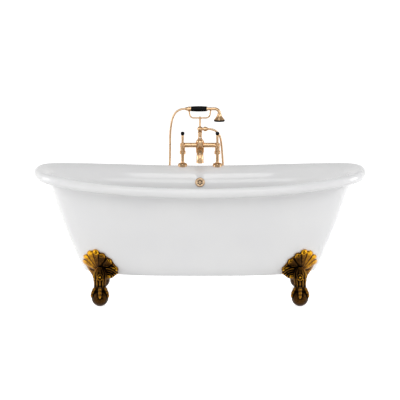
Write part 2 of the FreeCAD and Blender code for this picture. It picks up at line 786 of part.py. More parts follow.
plug_base = floor + S.waste_flange_height + S.plug_lift + 2.5
plug_outline = (
    (0, throat_end - plug_base + 2),
    (S.plug_stem, throat_end - plug_base + 2),
    (S.plug_stem, 0),
    (S.plug_radius, 0),
    (S.plug_radius, 2),
    (S.plug_radius * 0.85, 4.5),
    (S.plug_radius * 0.5, 6.5),
    (0, 7.2),
)
turned("waste_plug", plug_outline, (0, 0, plug_base))
plug_seal = (
    (S.waste_bore - 2, -2.4),
    (S.waste_bore + 7, -2.4),
    (S.waste_bore + 7, 0),
    (S.waste_bore - 2, 0),
)
turned("waste_plug_seal", plug_seal, (0, 0, plug_base))

gasket = (
    (S.waste_throat + 0.6, 0),
    (S.waste_body_radius, 0),
    (S.waste_body_radius, S.waste_gasket),
    (S.waste_throat + 0.6, S.waste_gasket),
)
turned("waste_seal", gasket, (0, 0, body_top))

chamber = S.waste_body_radius - 4
body_points = (
    (S.waste_tail_bore, S.waste_tail_end),
    (S.waste_tail_radius, S.waste_tail_end),
    (S.waste_tail_radius, S.waste_tail_end + S.waste_thread),
    (S.waste_tail_radius - 1, S.waste_tail_end + S.waste_thread),
    (S.waste_tail_radius - 1, S.waste_tail_end + S.waste_thread + 2),
    (S.waste_tail_radius, S.waste_tail_end + S.waste_thread + 2),
    (S.waste_tail_radius, body_bottom),
    (S.waste_body_radius, body_bottom),
    (S.waste_body_radius, body_top),
    (S.waste_throat, body_top),
    (S.waste_throat, body_top - 7),
    (chamber, body_top - 9),
    (chamber, body_bottom + 4),
    (S.waste_tail_bore, body_bottom + 4),
)
waste_cup = turned("waste_cup", body_points, keep=False)
port_height = board_bottom + S.skin_wall + S.pipe_radius + 3
port_end = S.waste_body_radius + 27
port = rod(S.pipe_bore - 0.2, port_end - chamber - 2, (0, chamber + 2, port_height), (0, 1, 0))
port_bore = rod(S.pipe_bore - 2.5, port_end - chamber + 4, (0, chamber - 2, port_height), (0, 1, 0))
waste_whole = fused("waste_body_solid", [waste_cup, port])
node(cut("waste_body", waste_whole, [port_bore]), "waste_body")

# ---------------------------------------------------------------- overflow
grille_height = 4
grille_outline = (
    (S.overflow_hole - 3, -5),
    (S.overflow_hole - 0.5, -5),
    (S.overflow_hole - 0.5, 0.8),
    (S.overflow_radius, 0.8),
    (S.overflow_radius, 2),
    (S.overflow_radius - 3, grille_height),
    (S.screw_head + 0.5, grille_height),
    (S.screw_radius + 0.5, grille_height - 1.8),
    (S.screw_radius + 0.5, 1.5),
    (S.overflow_hole - 3, 1.5),
)
grille_disc = turned("overflow_disc", grille_outline, tuple(overflow_spot), tuple(inward), keep=False)
across_wall = V(1, 0, 0)
up_wall = inward.cross(across_wall) * -1
holes = []
for i in range(6):
    way = math.radians(60 * i + 90)
    offset = across_wall * math.cos(way) + up_wall * math.sin(way)
    start = overflow_spot + offset * float(S.overflow_ring) - inward * 2
    holes.append(rod(S.overflow_drill, 9, tuple(start), tuple(inward)))
node(cut("overflow_grille", grille_disc, holes), "overflow_grille")

def width_at(levels, height):
    """Half-width of the levels at the middle of the bath, at a height."""
    rows = sorted((row[2], row[1]) for row in levels)
    for (low, first), (high, last) in zip(rows, rows[1:]):
        if low <= height <= high:
            return first + (last - first) * (height - low) / (high - low)
    return rows[-1][1]


def cavity(height):
    """Middle of the space between the skins on the far side."""
    near = width_at(back, height)
    far = width_at(lining, height)
    return (0, (near + far) / 2, height)


behind = S.basin_wall
seal_depth = S.overflow_gasket
elbow_seat = overflow_spot + outward * float(behind + seal_depth)
screw = (
    (0, -(behind + seal_depth + 5)),
    (S.screw_radius, -(behind + seal_depth + 5)),
    (S.screw_radius, grille_height - 1.6),
    (S.screw_head, grille_height),
    (S.screw_head, grille_height + 0.6),
    (S.screw_head * 0.7, grille_height + 1.8),
    (0, grille_height + 2.2),
)
turned("overflow_screw", screw, tuple(overflow_spot), tuple(inward))
wall_side = overflow_spot + outward * float(behind - 3)
seal_blank = Part.makeCylinder(float(S.elbow_radius), 3 + float(seal_depth), wall_side, outward)
seal_blank = seal_blank.cut(Part.makeCylinder(float(S.overflow_hole), 20, wall_side, outward))
wall_here = basin_near(overflow_spot, outward * float(S.bond_gap))
wall_inside = basin_near(overflow_spot, inward * float(S.basin_wall / 2))
shaped("overflow_seal", seal_blank.cut([wall_here, wall_inside]))
wall_clear = shaped("overflow_wall", wall_here, keep=False)
elbow_outline = (
    (S.elbow_radius - 3, 0),
    (S.elbow_radius, 0),
    (S.elbow_radius, S.elbow_depth - 3),
    (S.elbow_radius - 3, S.elbow_depth),
    (0, S.elbow_depth),
    (0, 0),
    (5, 0),
    (5, S.elbow_depth - 3),
    (S.elbow_radius - 3, S.elbow_depth - 3),
)
elbow_cup = turned("overflow_cup", elbow_outline, tuple(elbow_seat), tuple(outward), keep=False)
spigot_top = elbow_seat + outward * (float(S.elbow_depth) / 2)
spigot_reach = S.elbow_radius + S.spigot_length
spigot_way = (V(*cavity(spigot_top.z - 1.5 * float(spigot_reach))) - spigot_top).normalize()
spigot = rod(S.pipe_bore - 0.2, spigot_reach, tuple(spigot_top), tuple(spigot_way))
cup_space = turned("overflow_space", ((5, 0), (S.elbow_radius - 3, 0),
                                      (S.elbow_radius - 3, S.elbow_depth - 3), (5, S.elbow_depth - 3)),
                   tuple(elbow_seat), tuple(outward), keep=False)
elbow_solid = cut("overflow_elbow_solid", fused("overflow_elbow_cast", [elbow_cup, spigot]), [cup_space])
elbow_clear = rod(S.pipe_bore - 2.5, spigot_reach, tuple(spigot_top + spigot_way * 6), tuple(spigot_way))
screw_way = rod(S.screw_radius + S.running_gap, 6, tuple(elbow_seat), tuple(outward))
node(cut("overflow_elbow", elbow_solid, [elbow_clear, wall_clear, screw_way]), "overflow_elbow")


def tube_path(points):
    """Straight runs joined by tangent arcs."""
    edges = []
    here = V(*points[0])
    for before, at, after in zip(points, points[1:], points[2:]):
        before, at, after = V(*before), V(*at), V(*after)
        back_way = (before - at).normalize()
        on_way = (after - at).normalize()
        half_turn = (math.pi - back_way.getAngle(on_way)) / 2
        reach = 0.45 * min((before - at).Length, (after - at).Length)
        radius = reach / math.tan(half_turn)
        start = at + back_way * reach
        end = at + on_way * reach
        middle = at + (back_way + on_way).normalize() * (radius / math.cos(half_turn) - radius)
        edges.append(Part.LineSegment(here, start).toShape())
        edges.append(Part.Arc(start, middle, end).toShape())
        here = end
    edges.append(Part.LineSegment(here, V(*points[-1])).toShape())
    return Part.Wire(edges)


def tube(points, radius, bore=0):
    """A round tube along a path of straight runs and arcs."""
    path = tube_path(points)
    start = V(*points[0])
    way = V(*points[1]) - start
    shapes = []
    for size in (radius, bore):
        if size:
            section = Part.Wire([Part.makeCircle(float(size), start, way)])
            shapes.append(path.makePipeShell([section], True, False))
    return shapes[0].cut(shapes[1]) if bore else shapes[0]


pipe_top = spigot_top + spigot_way * (float(S.elbow_radius) + 4)
pipe_bend = pipe_top + spigot_way * 40
low_bend = float(port_height) + 62
pipe_points = [tuple(pipe_top), tuple(pipe_bend)]
pipe_points += [cavity(low_bend + (pipe_bend.z - low_bend) * share) for share in (0.62, 0.28)]
pipe_points += [
    (0, cavity(low_bend)[1] + 1, low_bend),
    (0, cavity(low_bend)[1] - 20, float(port_height) + 14),
    (0, cavity(low_bend)[1] - 62, float(port_height)),
    (0, float(S.waste_body_radius) + 3, float(port_height)),
]
shaped("overflow_pipe", tube(pipe_points, S.pipe_radius, S.pipe_bore))
clip = (
    (S.pipe_radius + 0.2, 0),
    (S.pipe_radius + 1.2, 0),
    (S.pipe_radius + 1.2, 9),
    (S.pipe_radius + 0.2, 9),
)
top_clip = turned("clip_top", clip, tuple(pipe_top + spigot_way * 5), tuple(spigot_way), keep=False)
low_clip = turned("clip_low", clip, (0, S.waste_body_radius + 9, port_height), (0, 1, 0), keep=False)
group("pipe_clips", [top_clip, low_clip])

# ---------------------------------------------------------------- mixer on the far rim
rim_top = S.rim_height
bar_z = rim_top + S.bar_rise
mixer = (0, mixer_y, bar_z)
leg_foot = rim_top + S.seal_height
leg_top = bar_z - S.union_drop
seal_solids = []
leg_unions = []
tail_nuts = []
tail_washers = []
SIDES = (("left", -1), ("right", 1))
for side, sign in SIDES:
    x = sign * S.tap_centres / 2
    y = mixer_y
    start = V(float(x), float(y), float(rim_top - S.seat_depth))
    rim_here = basin_near(start, V(0, 0, float(S.bond_gap)))
    seal_radius = float(S.flange_radius - S.flange_skirt) - 1
    blank = Part.makeCylinder(seal_radius, float(S.seat_depth + S.seal_height), start)
    blank = blank.cut(Part.makeCylinder(float(S.tail_radius) + 0.3, 40, start - V(0, 0, 5)))
    seal_solids.append(blank.cut(rim_here))
    height = leg_top - leg_foot
    leg = (
        (S.waterway, -S.tail_length),
        (S.tail_radius, -S.tail_length),
        (S.tail_radius, S.inlet_length - S.tail_length),
        (S.tail_radius - 0.8, S.inlet_length - S.tail_length),
        (S.tail_radius - 0.8, S.inlet_length - S.tail_length + 1.5),
        (S.tail_radius, S.inlet_length - S.tail_length + 1.5),
        (S.tail_radius, 0),
        (S.flange_radius, 0),
        (S.flange_radius, 4),
        (S.flange_radius - 3, 8),
        (S.pillar_radius + 5, 10.5),
        (S.pillar_radius + 1, 14),
        (S.pillar_radius, 18),
        (S.pillar_radius, height - 9),
        (S.bar_radius - 0.5, height - 4),
        (S.bar_radius - 0.5, height),
        (S.waterway, height),
    )
    skirt = (
        (S.flange_radius - S.flange_skirt, -(S.seat_depth + S.seal_height)),
        (S.flange_radius, -(S.seat_depth + S.seal_height)),
        (S.flange_radius, 0),
        (S.flange_radius - S.flange_skirt, 0),
    )
    skirt_ring = turned(f"skirt_ring_{side}", skirt, (x, y, leg_foot), keep=False)
    skirt_cut = cut(f"skirt_{side}", skirt_ring, [shaped(f"rim_{side}", rim_here, keep=False)])
    leg_body = turned(f"leg_turned_{side}", leg, (x, y, leg_foot), keep=False)
    node(fused(f"leg_{side}", [leg_body, skirt_cut]), f"leg_{side}")
    ring_nut = (
        (S.pillar_radius + 0.4, -11),
        (S.union_radius, -11),
        (S.union_radius, S.union_height - 11),
        (S.bar_radius + 0.3, S.union_height - 11),
        (S.bar_radius + 0.3, -5),
        (S.pillar_radius + 0.4, -9.6),
    )
    leg_unions.append(turned(f"ring_nut_{side}", ring_nut, (x, y, leg_top), keep=False))
    washer_top = rim_top - S.roll_radius * 2 - S.bond_gap
    washer = ((S.tail_radius + 0.3, -2), (S.tail_washer_radius, -2), (S.tail_washer_radius, 0),
              (S.tail_radius + 0.3, 0))
    tail_washers.append(turned(f"tail_washer_{side}", washer, (x, y, washer_top), keep=False))
    tail_nuts.append(padded(f"tail_nut_{side}", hexagon(S.tail_flats), S.tail_nut_height,
                            (x, y, washer_top - 2 - S.tail_nut_height),
                            holes=((S.tail_radius, 0, 0),), keep=False))
shaped("flange_seals", Part.makeCompound(seal_solids))
group("leg_unions", leg_unions)
group("tail_washers", tail_washers)
group("tail_nuts", tail_nuts)

valve_bore = S.valve_radius - 4.5
bar_pieces = [rod(S.bar_radius, S.tap_centres, (-(S.tap_centres / 2), mixer_y, bar_z), (1, 0, 0))]
bar_bores = [rod(S.waterway, S.tap_centres, (-(S.tap_centres / 2), mixer_y, bar_z), (1, 0, 0))]
for side, sign in SIDES:
    x = sign * S.tap_centres / 2
    bar_pieces.append(ball(S.bar_radius + 2, (x, mixer_y, bar_z)))
    bar_pieces.append(rod(S.valve_radius, S.valve_front, (x, mixer_y, bar_z), (0, -1, 0)))
    bar_pieces.append(rod(S.bar_radius - 0.5, bar_z - leg_top, (x, mixer_y, leg_top)))
    bar_bores.append(rod(S.waterway, bar_z - leg_top, (x, mixer_y, leg_top)))
    bar_bores.append(rod(valve_bore, S.valve_front, (x, mixer_y, bar_z), (0, -1, 0)))
centre_outline = (
    (0, -S.centre_drop),
    (S.centre_radius * 0.6, -S.centre_drop),
    (S.centre_radius * 0.9, 6 - S.centre_drop),
    (S.centre_radius, 14 - S.centre_drop),
    (S.centre_radius, S.centre_top - 12),
    (S.centre_radius * 0.86, S.centre_top - 5),
    (S.neck_radius + 3, S.centre_top),
    (0, S.centre_top),
)
bar_pieces.append(turned("centre_body", centre_outline, mixer, keep=False))
spout_z = S.spout_radius + 5 - S.centre_drop
spout_root = (0, mixer_y, bar_z + spout_z)
bar_bores.append(rod(S.waterway + 3, S.centre_top - spout_z, spout_root))
bar_bores.append(rod(S.spout_radius - S.spout_wall, S.centre_radius + 2, spout_root, (0, -1, 0)))
mixer_solid = fused("mixer_body_solid", bar_pieces)
node(cut("mixer_body", mixer_solid, bar_bores), "mixer_body")

lever_face = S.valve_front + S.lever_gap
for side, sign in SIDES:
    x = sign * S.tap_centres / 2
    spot = (x, mixer_y, bar_z)
    bonnet = (
        (S.spindle_radius + S.running_gap, 4),
        (valve_bore - 0.2, 4),
        (valve_bore - 0.2, S.valve_front),
        (S.valve_radius, S.valve_front),
        (S.valve_radius, S.valve_front + 2),
        (S.valve_radius - 2, S.valve_front + 3.6),
        (S.spindle_radius + S.running_gap, S.valve_front + 3.6),
    )
    turned(f"valve_{side}", bonnet, spot, (0, -1, 0))
    hub_front = lever_face + S.lever_depth
    spindle = (
        (0, 3),
        (S.spindle_radius, 3),
        (S.spindle_radius, hub_front - 2),
        (1.6, hub_front - 2),
        (1.6, hub_front - 9),
        (0, hub_front - 9),
    )
    turned(f"spindle_{side}", spindle, spot, (0, -1, 0))
    hub = (
        (S.spindle_radius, lever_face),
        (S.lever_hub, lever_face),
        (S.lever_hub + 1, lever_face + 3),
        (S.lever_hub + 1, hub_front - 4),
        (S.lever_hub - 2, hub_front),
        (1.7, hub_front),
        (1.7, hub_front - 2),
        (S.spindle_radius, hub_front - 2),
    )
    hub_body = turned(f"lever_hub_{side}", hub, spot, (0, -1, 0), keep=False)
    arm_y = mixer_y - lever_face - 6
    arm = (
        (0, S.lever_hub - 3),
        (S.lever_arm, S.lever_hub - 3),
        (S.lever_arm * 0.88, S.lever_hub + 6),
        (S.lever_arm * 1.06, S.lever_reach - 4),
        (S.lever_arm * 0.86, S.lever_reach),
        (0, S.lever_reach),
    )
    arm_body = turned(f"lever_arm_{side}", arm, (x, arm_y, bar_z), keep=False)
    node(fused(f"lever_{side}", [hub_body, arm_body]), f"lever_{side}")
    cap = (
        (0, S.lever_reach),
        (S.lever_cap_radius * 0.72, S.lever_reach),
        (S.lever_cap_radius * 0.94, S.lever_reach + S.lever_cap_height * 0.2),
        (S.lever_cap_radius, S.lever_reach + S.lever_cap_height * 0.5),
        (S.lever_cap_radius * 0.94, S.lever_reach + S.lever_cap_height * 0.8),
        (S.lever_cap_radius * 0.7, S.lever_reach + S.lever_cap_height),
        (0, S.lever_reach + S.lever_cap_height),
    )
    turned(f"lever_cap_{side}", cap, (x, arm_y, bar_z))
    hub_screw = (
        (0, hub_front - 8),
        (1.5, hub_front - 8),
        (1.5, hub_front),
        (4.5, hub_front),
        (3.8, hub_front + 1.8),
        (0, hub_front + 2.6),
    )
    turned(f"lever_screw_{side}", hub_screw, spot, (0, -1, 0))


def swelling_tube(points, radii):
    """A solid through circles square to a path, of changing radius."""
    sections = []
    for i, spot in enumerate(points):
        before = V(*points[max(i - 1, 0)])
        after = V(*points[min(i + 1, len(points) - 1)])
        way = after - before
        sections.append(Part.Wire([Part.makeCircle(radii[i], V(*spot), way)]))
    return Part.makeLoft(sections, True)


def spout_shape():
    """The spout: straight out, bent down to its flared mouth, with the waterway through it."""
    root_z = float(bar_z + spout_z)
    mouth_z = float(bar_z - S.spout_drop)
    front = float(mixer_y - S.centre_radius) + 3
    tip = float(mixer_y - S.spout_reach)
    bend = (root_z - mouth_z) * 0.72
    points = [(0, front, root_z), (0, (front + tip + bend) / 2, root_z)]
    for degrees in range(0, 91, 15):
        way = math.radians(degrees)
        y = tip + bend - bend * math.sin(way)
        z = root_z - bend + bend * math.cos(way)
        points.append((0, y, z))
    points.append((0, tip, mouth_z + 4))
    points.append((0, tip, mouth_z))
    steps = len(points) - 1
    base = float(S.spout_radius)
    grow = float(S.spout_mouth) - base
    outer_radii = [base + grow * (i / steps) ** 3 for i in range(steps + 1)]
    inner_radii = [r - float(S.spout_wall) for r in outer_radii]
    outer = swelling_tube(points, outer_radii)
    longer = [(0, front + 1, root_z)] + points[1:-1] + [(0, tip, mouth_z - 1)]
    return outer.cut(swelling_tube(longer, inner_radii))


centre_clear = Part.makeCylinder(float(S.centre_radius), 120,
                                 V(0, float(mixer_y), float(bar_z - S.centre_drop) - 20))
shaped("spout", spout_shape().cut(centre_clear))
mouth = (0, mixer_y - S.spout_reach, bar_z - S.spout_drop)
flow_radius = S.spout_mouth - S.spout_wall - 1.2
flow_holes = [(1.6, 0, 0)]
for i in range(6):
    way = math.radians(60 * i)
    flow_holes.append((1.6, flow_radius * (0.55 * math.cos(way)), flow_radius * (0.55 * math.sin(way))))
disc = primitive("Cylinder", (mouth[0], mouth[1], mouth[2] + 1), Radius=flow_radius, Height=7)
drills = [rod(r, 9, (mouth[0] + x, mouth[1] + y, mouth[2])) for r, x, y in flow_holes]
node(cut("flow_straightener", disc, drills), "flow_straightener")

neck_base = bar_z + S.centre_top
tee_z = neck_base + S.neck_height + 16.5
neck_outline = (
    (S.waterway, 0),
    (S.neck_radius + 3, 0),
    (S.neck_radius + 3, 3),
    (S.neck_radius, 6),
    (S.neck_radius, S.neck_height - 4),
    (S.neck_radius + 2.5, S.neck_height - 2),
    (S.neck_radius + 2.5, S.neck_height + 1),
    (S.neck_radius, S.neck_height + 4),
    (S.waterway, S.neck_height + 4),
)
neck = turned("riser_neck", neck_outline, (0, mixer_y, neck_base), keep=False)
tee = ball(S.tee_radius, (0, mixer_y, tee_z))
post = rod(S.post_radius, S.post_height + S.tee_radius, (0, mixer_y, tee_z))
branch = rod(S.outlet_radius, S.outlet_reach, (0, mixer_y, tee_z), (1, 0, 0))
knob_z = neck_base + S.neck_height * 0.34
knob_boss = rod(S.diverter_radius - 2.5, S.neck_radius + 5, (0, mixer_y, knob_z), (0, -1, 0))
riser_solid = fused("riser_solid", [neck, tee, post, branch, knob_boss])
riser_bores = [
    rod(S.waterway, tee_z - neck_base, (0, mixer_y, neck_base)),
    rod(S.waterway - 1, S.outlet_reach, (0, mixer_y, tee_z), (1, 0, 0)),
    rod(3 + S.running_gap, S.neck_radius + 5, (0, mixer_y, knob_z), (0, -1, 0)),
]
node(cut("riser", riser_solid, riser_bores), "riser")
knob_start = S.neck_radius + 5.4
knob = (
    (0, -3),
    (3, -3),
    (3, knob_start),
    (S.diverter_radius - 1.5, knob_start),
    (S.diverter_radius, knob_start + 2),
    (S.diverter_radius, knob_start + 8),
    (S.diverter_radius - 2, knob_start + 10),
    (4, knob_start + 10),
    (4, knob_start + 9),
    (0, knob_start + 9),
)
knob_body = turned("diverter_turned", knob, (0, mixer_y, knob_z), (0, -1, 0), keep=False)
pointer = primitive("Box", (-1.5, mixer_y - knob_start - 8, knob_z + S.diverter_radius - 1),
                    Length=3, Width=6, Height=3.5)
node(fused("diverter_knob", [knob_body, pointer]), "diverter_knob")
index = ((0, knob_start + 9), (3.8, knob_start + 9), (3.6, knob_start + 10.2), (0, knob_start + 11))
turned("diverter_button", index, (0, mixer_y, knob_z), (0, -1, 0))

nut_start = S.outlet_reach - 4
hose_nut = (
    (S.outlet_radius + 0.2, nut_start),
    (S.outlet_radius + 4, nut_start),
    (S.outlet_radius + 4, nut_start + 12),
    (S.hose_radius + 2, nut_start + 19),
    (S.hose_radius + 1, nut_start + 21),
    (0, nut_start + 21),
    (0, nut_start + 6),
    (S.outlet_radius + 0.2, nut_start + 6),
)
turned("hose_nut", hose_nut, (0, mixer_y, tee_z), (1, 0, 0))

# ---------------------------------------------------------------- cradle and handset
handset_z = bar_z + S.handset_rise
cradle_z = tee_z + S.post_height + S.tee_radius
rest_left = S.grip_start + 9
rest_right = S.grip_end + 20
collar_radius = S.grip_radius - 0.5


def half_saddle(x, radius, width):
    """A half ring that the handset lies in, open upwards."""
    start = V(x - width / 2, float(mixer_y), float(handset_z))
    ring_solid = Part.makeCylinder(radius + float(S.rest_gap + S.saddle_wall), width, start, V(1, 0, 0))
    upper = Part.makeBox(width, 60, 40, V(start.x, start.y - 30, start.z - radius * 0.25))
    return ring_solid.cut(upper)


def cradle_shape():
    """The cradle: a rod on the post, bent up at both ends to the saddles."""
    y = float(mixer_y)
    z = float(cradle_z)
    rests = ((float(-rest_left), float(collar_radius)), (float(rest_right), float(S.handle_radius)))
    ends = [(x, y, float(handset_z) - radius - 2) for x, radius in rests]
    corners = [(x * 0.88, y, z) for x, radius in rests]
    solid = tube([ends[0]] + corners + [ends[1]], S.cradle_rod)
    solid = solid.fuse(Part.makeSphere(float(S.cradle_rod) * 2, V(0, y, z)))
    for x, radius in rests:
        solid = solid.fuse(half_saddle(x, radius, 8))
        start = V(x - 20, y, float(handset_z))
        solid = solid.cut(Part.makeCylinder(radius + float(S.rest_gap), 40, start, V(1, 0, 0)))
    return solid.cut(Part.makeCylinder(float(S.post_radius), 40, V(0, y, z - 40)))


shaped("cradle", cradle_shape())

grip_length = S.grip_start + S.grip_end
grip = (
    (S.handle_radius, 0),
    (S.grip_radius, 0),
    (S.grip_radius + 1, grip_length * 0.1),
    (S.grip_belly, grip_length * 0.38),
    (S.grip_belly, grip_length * 0.62),
    (S.grip_radius + 1, grip_length * 0.9),
    (S.grip_radius, grip_length),
    (S.handle_radius, grip_length),
)
turned("grip", grip, (-S.grip_start, mixer_y, handset_z), (1, 0, 0))
ferrule = (
    (S.handle_radius, 0),
    (collar_radius, 0),
    (collar_radius, S.ferrule_length),
    (S.handle_radius, S.ferrule_length),
)
left_ferrule = turned("ferrule_left", ferrule, (-(S.grip_start + S.ferrule_length), mixer_y, handset_z),
                      (1, 0, 0), keep=False)
right_ferrule = turned("ferrule_right", ferrule, (S.grip_end, mixer_y, handset_z), (1, 0, 0),
                       keep=False)
group("grip_ferrules", [left_ferrule, right_ferrule])


def handle_shape():
    """The handset tube: straight through the grip, then bent down into the rose."""
    y = float(mixer_y)
    z = float(handset_z)
    left = -float(S.grip_start + S.ferrule_length)
    end = float(S.handle_end)
    bend = float(S.handle_bend)
    shapes = []
    for radius in (S.handle_radius, S.handle_bore):
        corner_way = V(end + bend * math.sin(math.pi / 4), y, z - bend + bend * math.cos(math.pi / 4))
        edges = [
            Part.LineSegment(V(left, y, z), V(end, y, z)).toShape(),
            Part.Arc(V(end, y, z), corner_way, V(end + bend, y, z - bend)).toShape(),
            Part.LineSegment(V(end + bend, y, z - bend), V(end + bend, y, z - bend - 7)).toShape(),
        ]
        section = Part.Wire([Part.makeCircle(float(radius), V(left, y, z), V(1, 0, 0))])
        shapes.append(Part.Wire(edges).makePipeShell([section], True, False))
    return shapes[0].cut(shapes[1])


shaped("handset_tube", handle_shape())
rose_x = S.handle_end + S.handle_bend
bell_top = handset_z - S.handle_bend - 7
bell = (
    (S.handle_radius, 5),
    (S.handle_radius + 2.5, 5),
    (S.handle_radius + 3, 0),
    (S.handle_radius + 5.5, S.bell_height * -0.3),
    (S.handle_radius + 11, S.bell_height * -0.62),
    (S.rose_radius - 2.5, -S.bell_height),
    (S.rose_radius - 5, -S.bell_height),
    (S.handle_radius + 8, S.bell_height * -0.66),
    (S.handle_radius + 2.5, S.bell_height * -0.34),
    (S.handle_bore, -2),
    (S.handle_bore, 0),
    (S.handle_radius, 0),
)
turned("rose_bell", bell, (rose_x, mixer_y, bell_top))
rim_z = bell_top - S.bell_height
rim_outline = (
    (S.rose_radius - 6, -2),
    (S.rose_radius - 6, 0),
    (S.rose_radius - 1.5, 0),
    (S.rose_radius, -2),
    (S.rose_radius, 2 - S.rose_band),
    (S.rose_radius - 1.5, -S.rose_band),
    (S.rose_radius - 3.5, -S.rose_band),
    (S.rose_radius - 3.5, -2),
)
turned("rose_rim", rim_outline, (rose_x, mixer_y, rim_z))
face_radius = S.rose_radius - 3.7
face_disc = rod(face_radius, 3, (rose_x, mixer_y, rim_z - 6))
face_holes = []
for ring_share, count in ((0, 1), (0.3, 6), (0.58, 12), (0.84, 18)):
    for i in range(count):
        way = 2 * math.pi * i / count
        x = rose_x + face_radius * (ring_share * math.cos(way))
        y = mixer_y + face_radius * (ring_share * math.sin(way))
        face_holes.append(rod(0.8, 5, (x, y, rim_z - 7)))
node(cut("rose_face", face_disc, face_holes), "rose_face")

cone_start = S.grip_start + S.ferrule_length
cone = (
    (0, cone_start),
    (collar_radius, cone_start),
    (collar_radius, cone_start + 11),
    (collar_radius - 2, cone_start + 13),
    (S.hose_radius + 2, cone_start + S.cone_length - 2),
    (S.hose_radius + 1, cone_start + S.cone_length),
    (0, cone_start + S.cone_length),
)
turned("hose_cone", cone, (0, mixer_y, handset_z), (-1, 0, 0))

# ---------------------------------------------------------------- shower hose
# hangs behind the bath from the tee to the handset; each point is a bend of the free hose
# each side's bends: shares of the bulge sideways, of the way back over the rim, and of the fall
LEFT_FALL = (
    (0, 0, 0),
    (0.33, 0, 0),
    (0.66, 0.02, 0.02),
    (0.9, 0.07, 0.061),
    (1.0, 0.18, 0.118),
    (1.02, 0.39, 0.204),
    (1.02, 0.72, 0.34),
    (1.01, 0.95, 0.507),
    (0.98, 1, 0.69),
    (0.84, 1, 0.86),
    (0.37, 1, 0.97),
    (-0.37, 1, 1.012),
)
RIGHT_FALL = (
    (0, 0, 0),
    (0.33, 0, 0),
    (0.66, 0.03, 0.024),
    (0.9, 0.1, 0.072),
    (0.99, 0.25, 0.14),
    (1.0, 0.5, 0.234),
    (1.0, 0.86, 0.38),
    (0.98, 1, 0.55),
    (0.94, 1, 0.7),
    (0.77, 1, 0.85),
    (0.35, 1, 0.965),
    (-0.35, 1, 1.014),
)
hose_back = float(S.tub_width / 2 + S.hose_radius + S.hose_clearance - mixer_y)


def hanging(start, sign, bends):
    """Bends of the hose from one of its ends down to its lowest part."""
    x, y, z = (float(value) for value in start)
    out = sign * float(S.hose_bulge)
    fall = z - float(S.hose_bottom)
    return [(x + across * out, y + back * hose_back, z - down * fall) for across, back, down in bends]


hose_points = hanging((-(cone_start + S.cone_length), mixer_y, handset_z), -1, LEFT_FALL)
hose_points += hanging((nut_start + 21, mixer_y, tee_z), 1, RIGHT_FALL)[::-1]
shaped("shower_hose", tube(hose_points, S.hose_radius))

# ---------------------------------------------------------------- checks and files
doc.recompute()
for obj in doc.Objects:
    if "Invalid" in obj.State or "Error" in obj.State:
        raise RuntimeError(f"{obj.Label}: {obj.State}")
for obj in nodes:
    if obj.Shape.isNull() or not obj.Shape.isValid():
        raise RuntimeError(f"{obj.Label} has no valid shape")
    obj.Shape.exportStep(f"parts/{obj.Label}.step")
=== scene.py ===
import math

import bmesh
import bpy
import numpy as np
from mathutils import Matrix, Vector
from mathutils.bvhtree import BVHTree


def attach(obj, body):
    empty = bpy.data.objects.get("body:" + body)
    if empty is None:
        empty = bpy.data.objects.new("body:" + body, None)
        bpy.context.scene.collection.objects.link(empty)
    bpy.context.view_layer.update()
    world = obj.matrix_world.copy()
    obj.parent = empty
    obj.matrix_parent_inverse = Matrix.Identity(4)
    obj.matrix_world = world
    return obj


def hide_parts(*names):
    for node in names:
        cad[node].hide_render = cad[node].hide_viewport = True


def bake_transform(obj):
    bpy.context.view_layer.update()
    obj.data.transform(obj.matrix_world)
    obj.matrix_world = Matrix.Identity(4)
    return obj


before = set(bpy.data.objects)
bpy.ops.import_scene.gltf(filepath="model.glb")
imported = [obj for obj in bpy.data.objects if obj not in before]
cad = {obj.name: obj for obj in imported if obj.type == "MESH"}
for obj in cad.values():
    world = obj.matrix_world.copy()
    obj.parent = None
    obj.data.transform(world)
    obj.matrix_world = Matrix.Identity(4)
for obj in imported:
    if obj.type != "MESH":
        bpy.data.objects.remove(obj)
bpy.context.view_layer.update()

scene = bpy.context.scene

# ---- Camera
# The picture is taken from the side that the bather steps in from, ten degrees above level, and
# from so far off that both ends of the bath look the same size.
LOOK_AT = Vector((0, 0, 0.505))
DISTANCE = 30.0
ELEVATION = math.radians(10)
PICTURE_PIXELS = 400
PIXELS_PER_METRE = 195
lens = bpy.data.cameras.new("camera")
lens.sensor_width = 36
lens.lens = lens.sensor_width * DISTANCE * PIXELS_PER_METRE / PICTURE_PIXELS
camera = bpy.data.objects.new("camera", lens)
camera.location = LOOK_AT + DISTANCE * Vector((0, -math.cos(ELEVATION), math.sin(ELEVATION)))
camera.rotation_euler = (math.pi / 2 - ELEVATION, 0, 0)
scene.collection.objects.link(camera)
scene.camera = camera


# ---- Shower hose
# Interlocked brass strip, 11 mm thick and 1.5 m long, plated like the mixer. It leaves the nut at
# the tee, hangs down behind the bath and comes up again to the cone on the handset.
def linear(colour):
    """A hex colour as linear light."""
    shares = [int(colour[i:i + 2], 16) / 255 for i in (1, 3, 5)]
    return [c / 12.92 if c <= 0.04045 else ((c + 0.055) / 1.055) ** 2.4 for c in shares] + [1]


def add(tree, kind, inputs=(), stops=(), **settings):
    """A node with its settings. Inputs are values or the sockets that feed them, and the stops
    of a ramp are its (position, hex colour or grey)."""
    node = tree.nodes.new(kind)
    for key, value in settings.items():
        setattr(node, key, value)
    for key, value in dict(inputs).items():
        if isinstance(value, bpy.types.NodeSocket):
            tree.links.new(value, node.inputs[key])
        else:
            node.inputs[key].default_value = value
    for _ in stops[2:]:
        node.color_ramp.elements.new(1)
    for i, (position, tone) in enumerate(stops):
        node.color_ramp.elements[i].position = position
        colour = linear(tone) if isinstance(tone, str) else (tone, tone, tone, 1)
        node.color_ramp.elements[i].color = colour
    return node


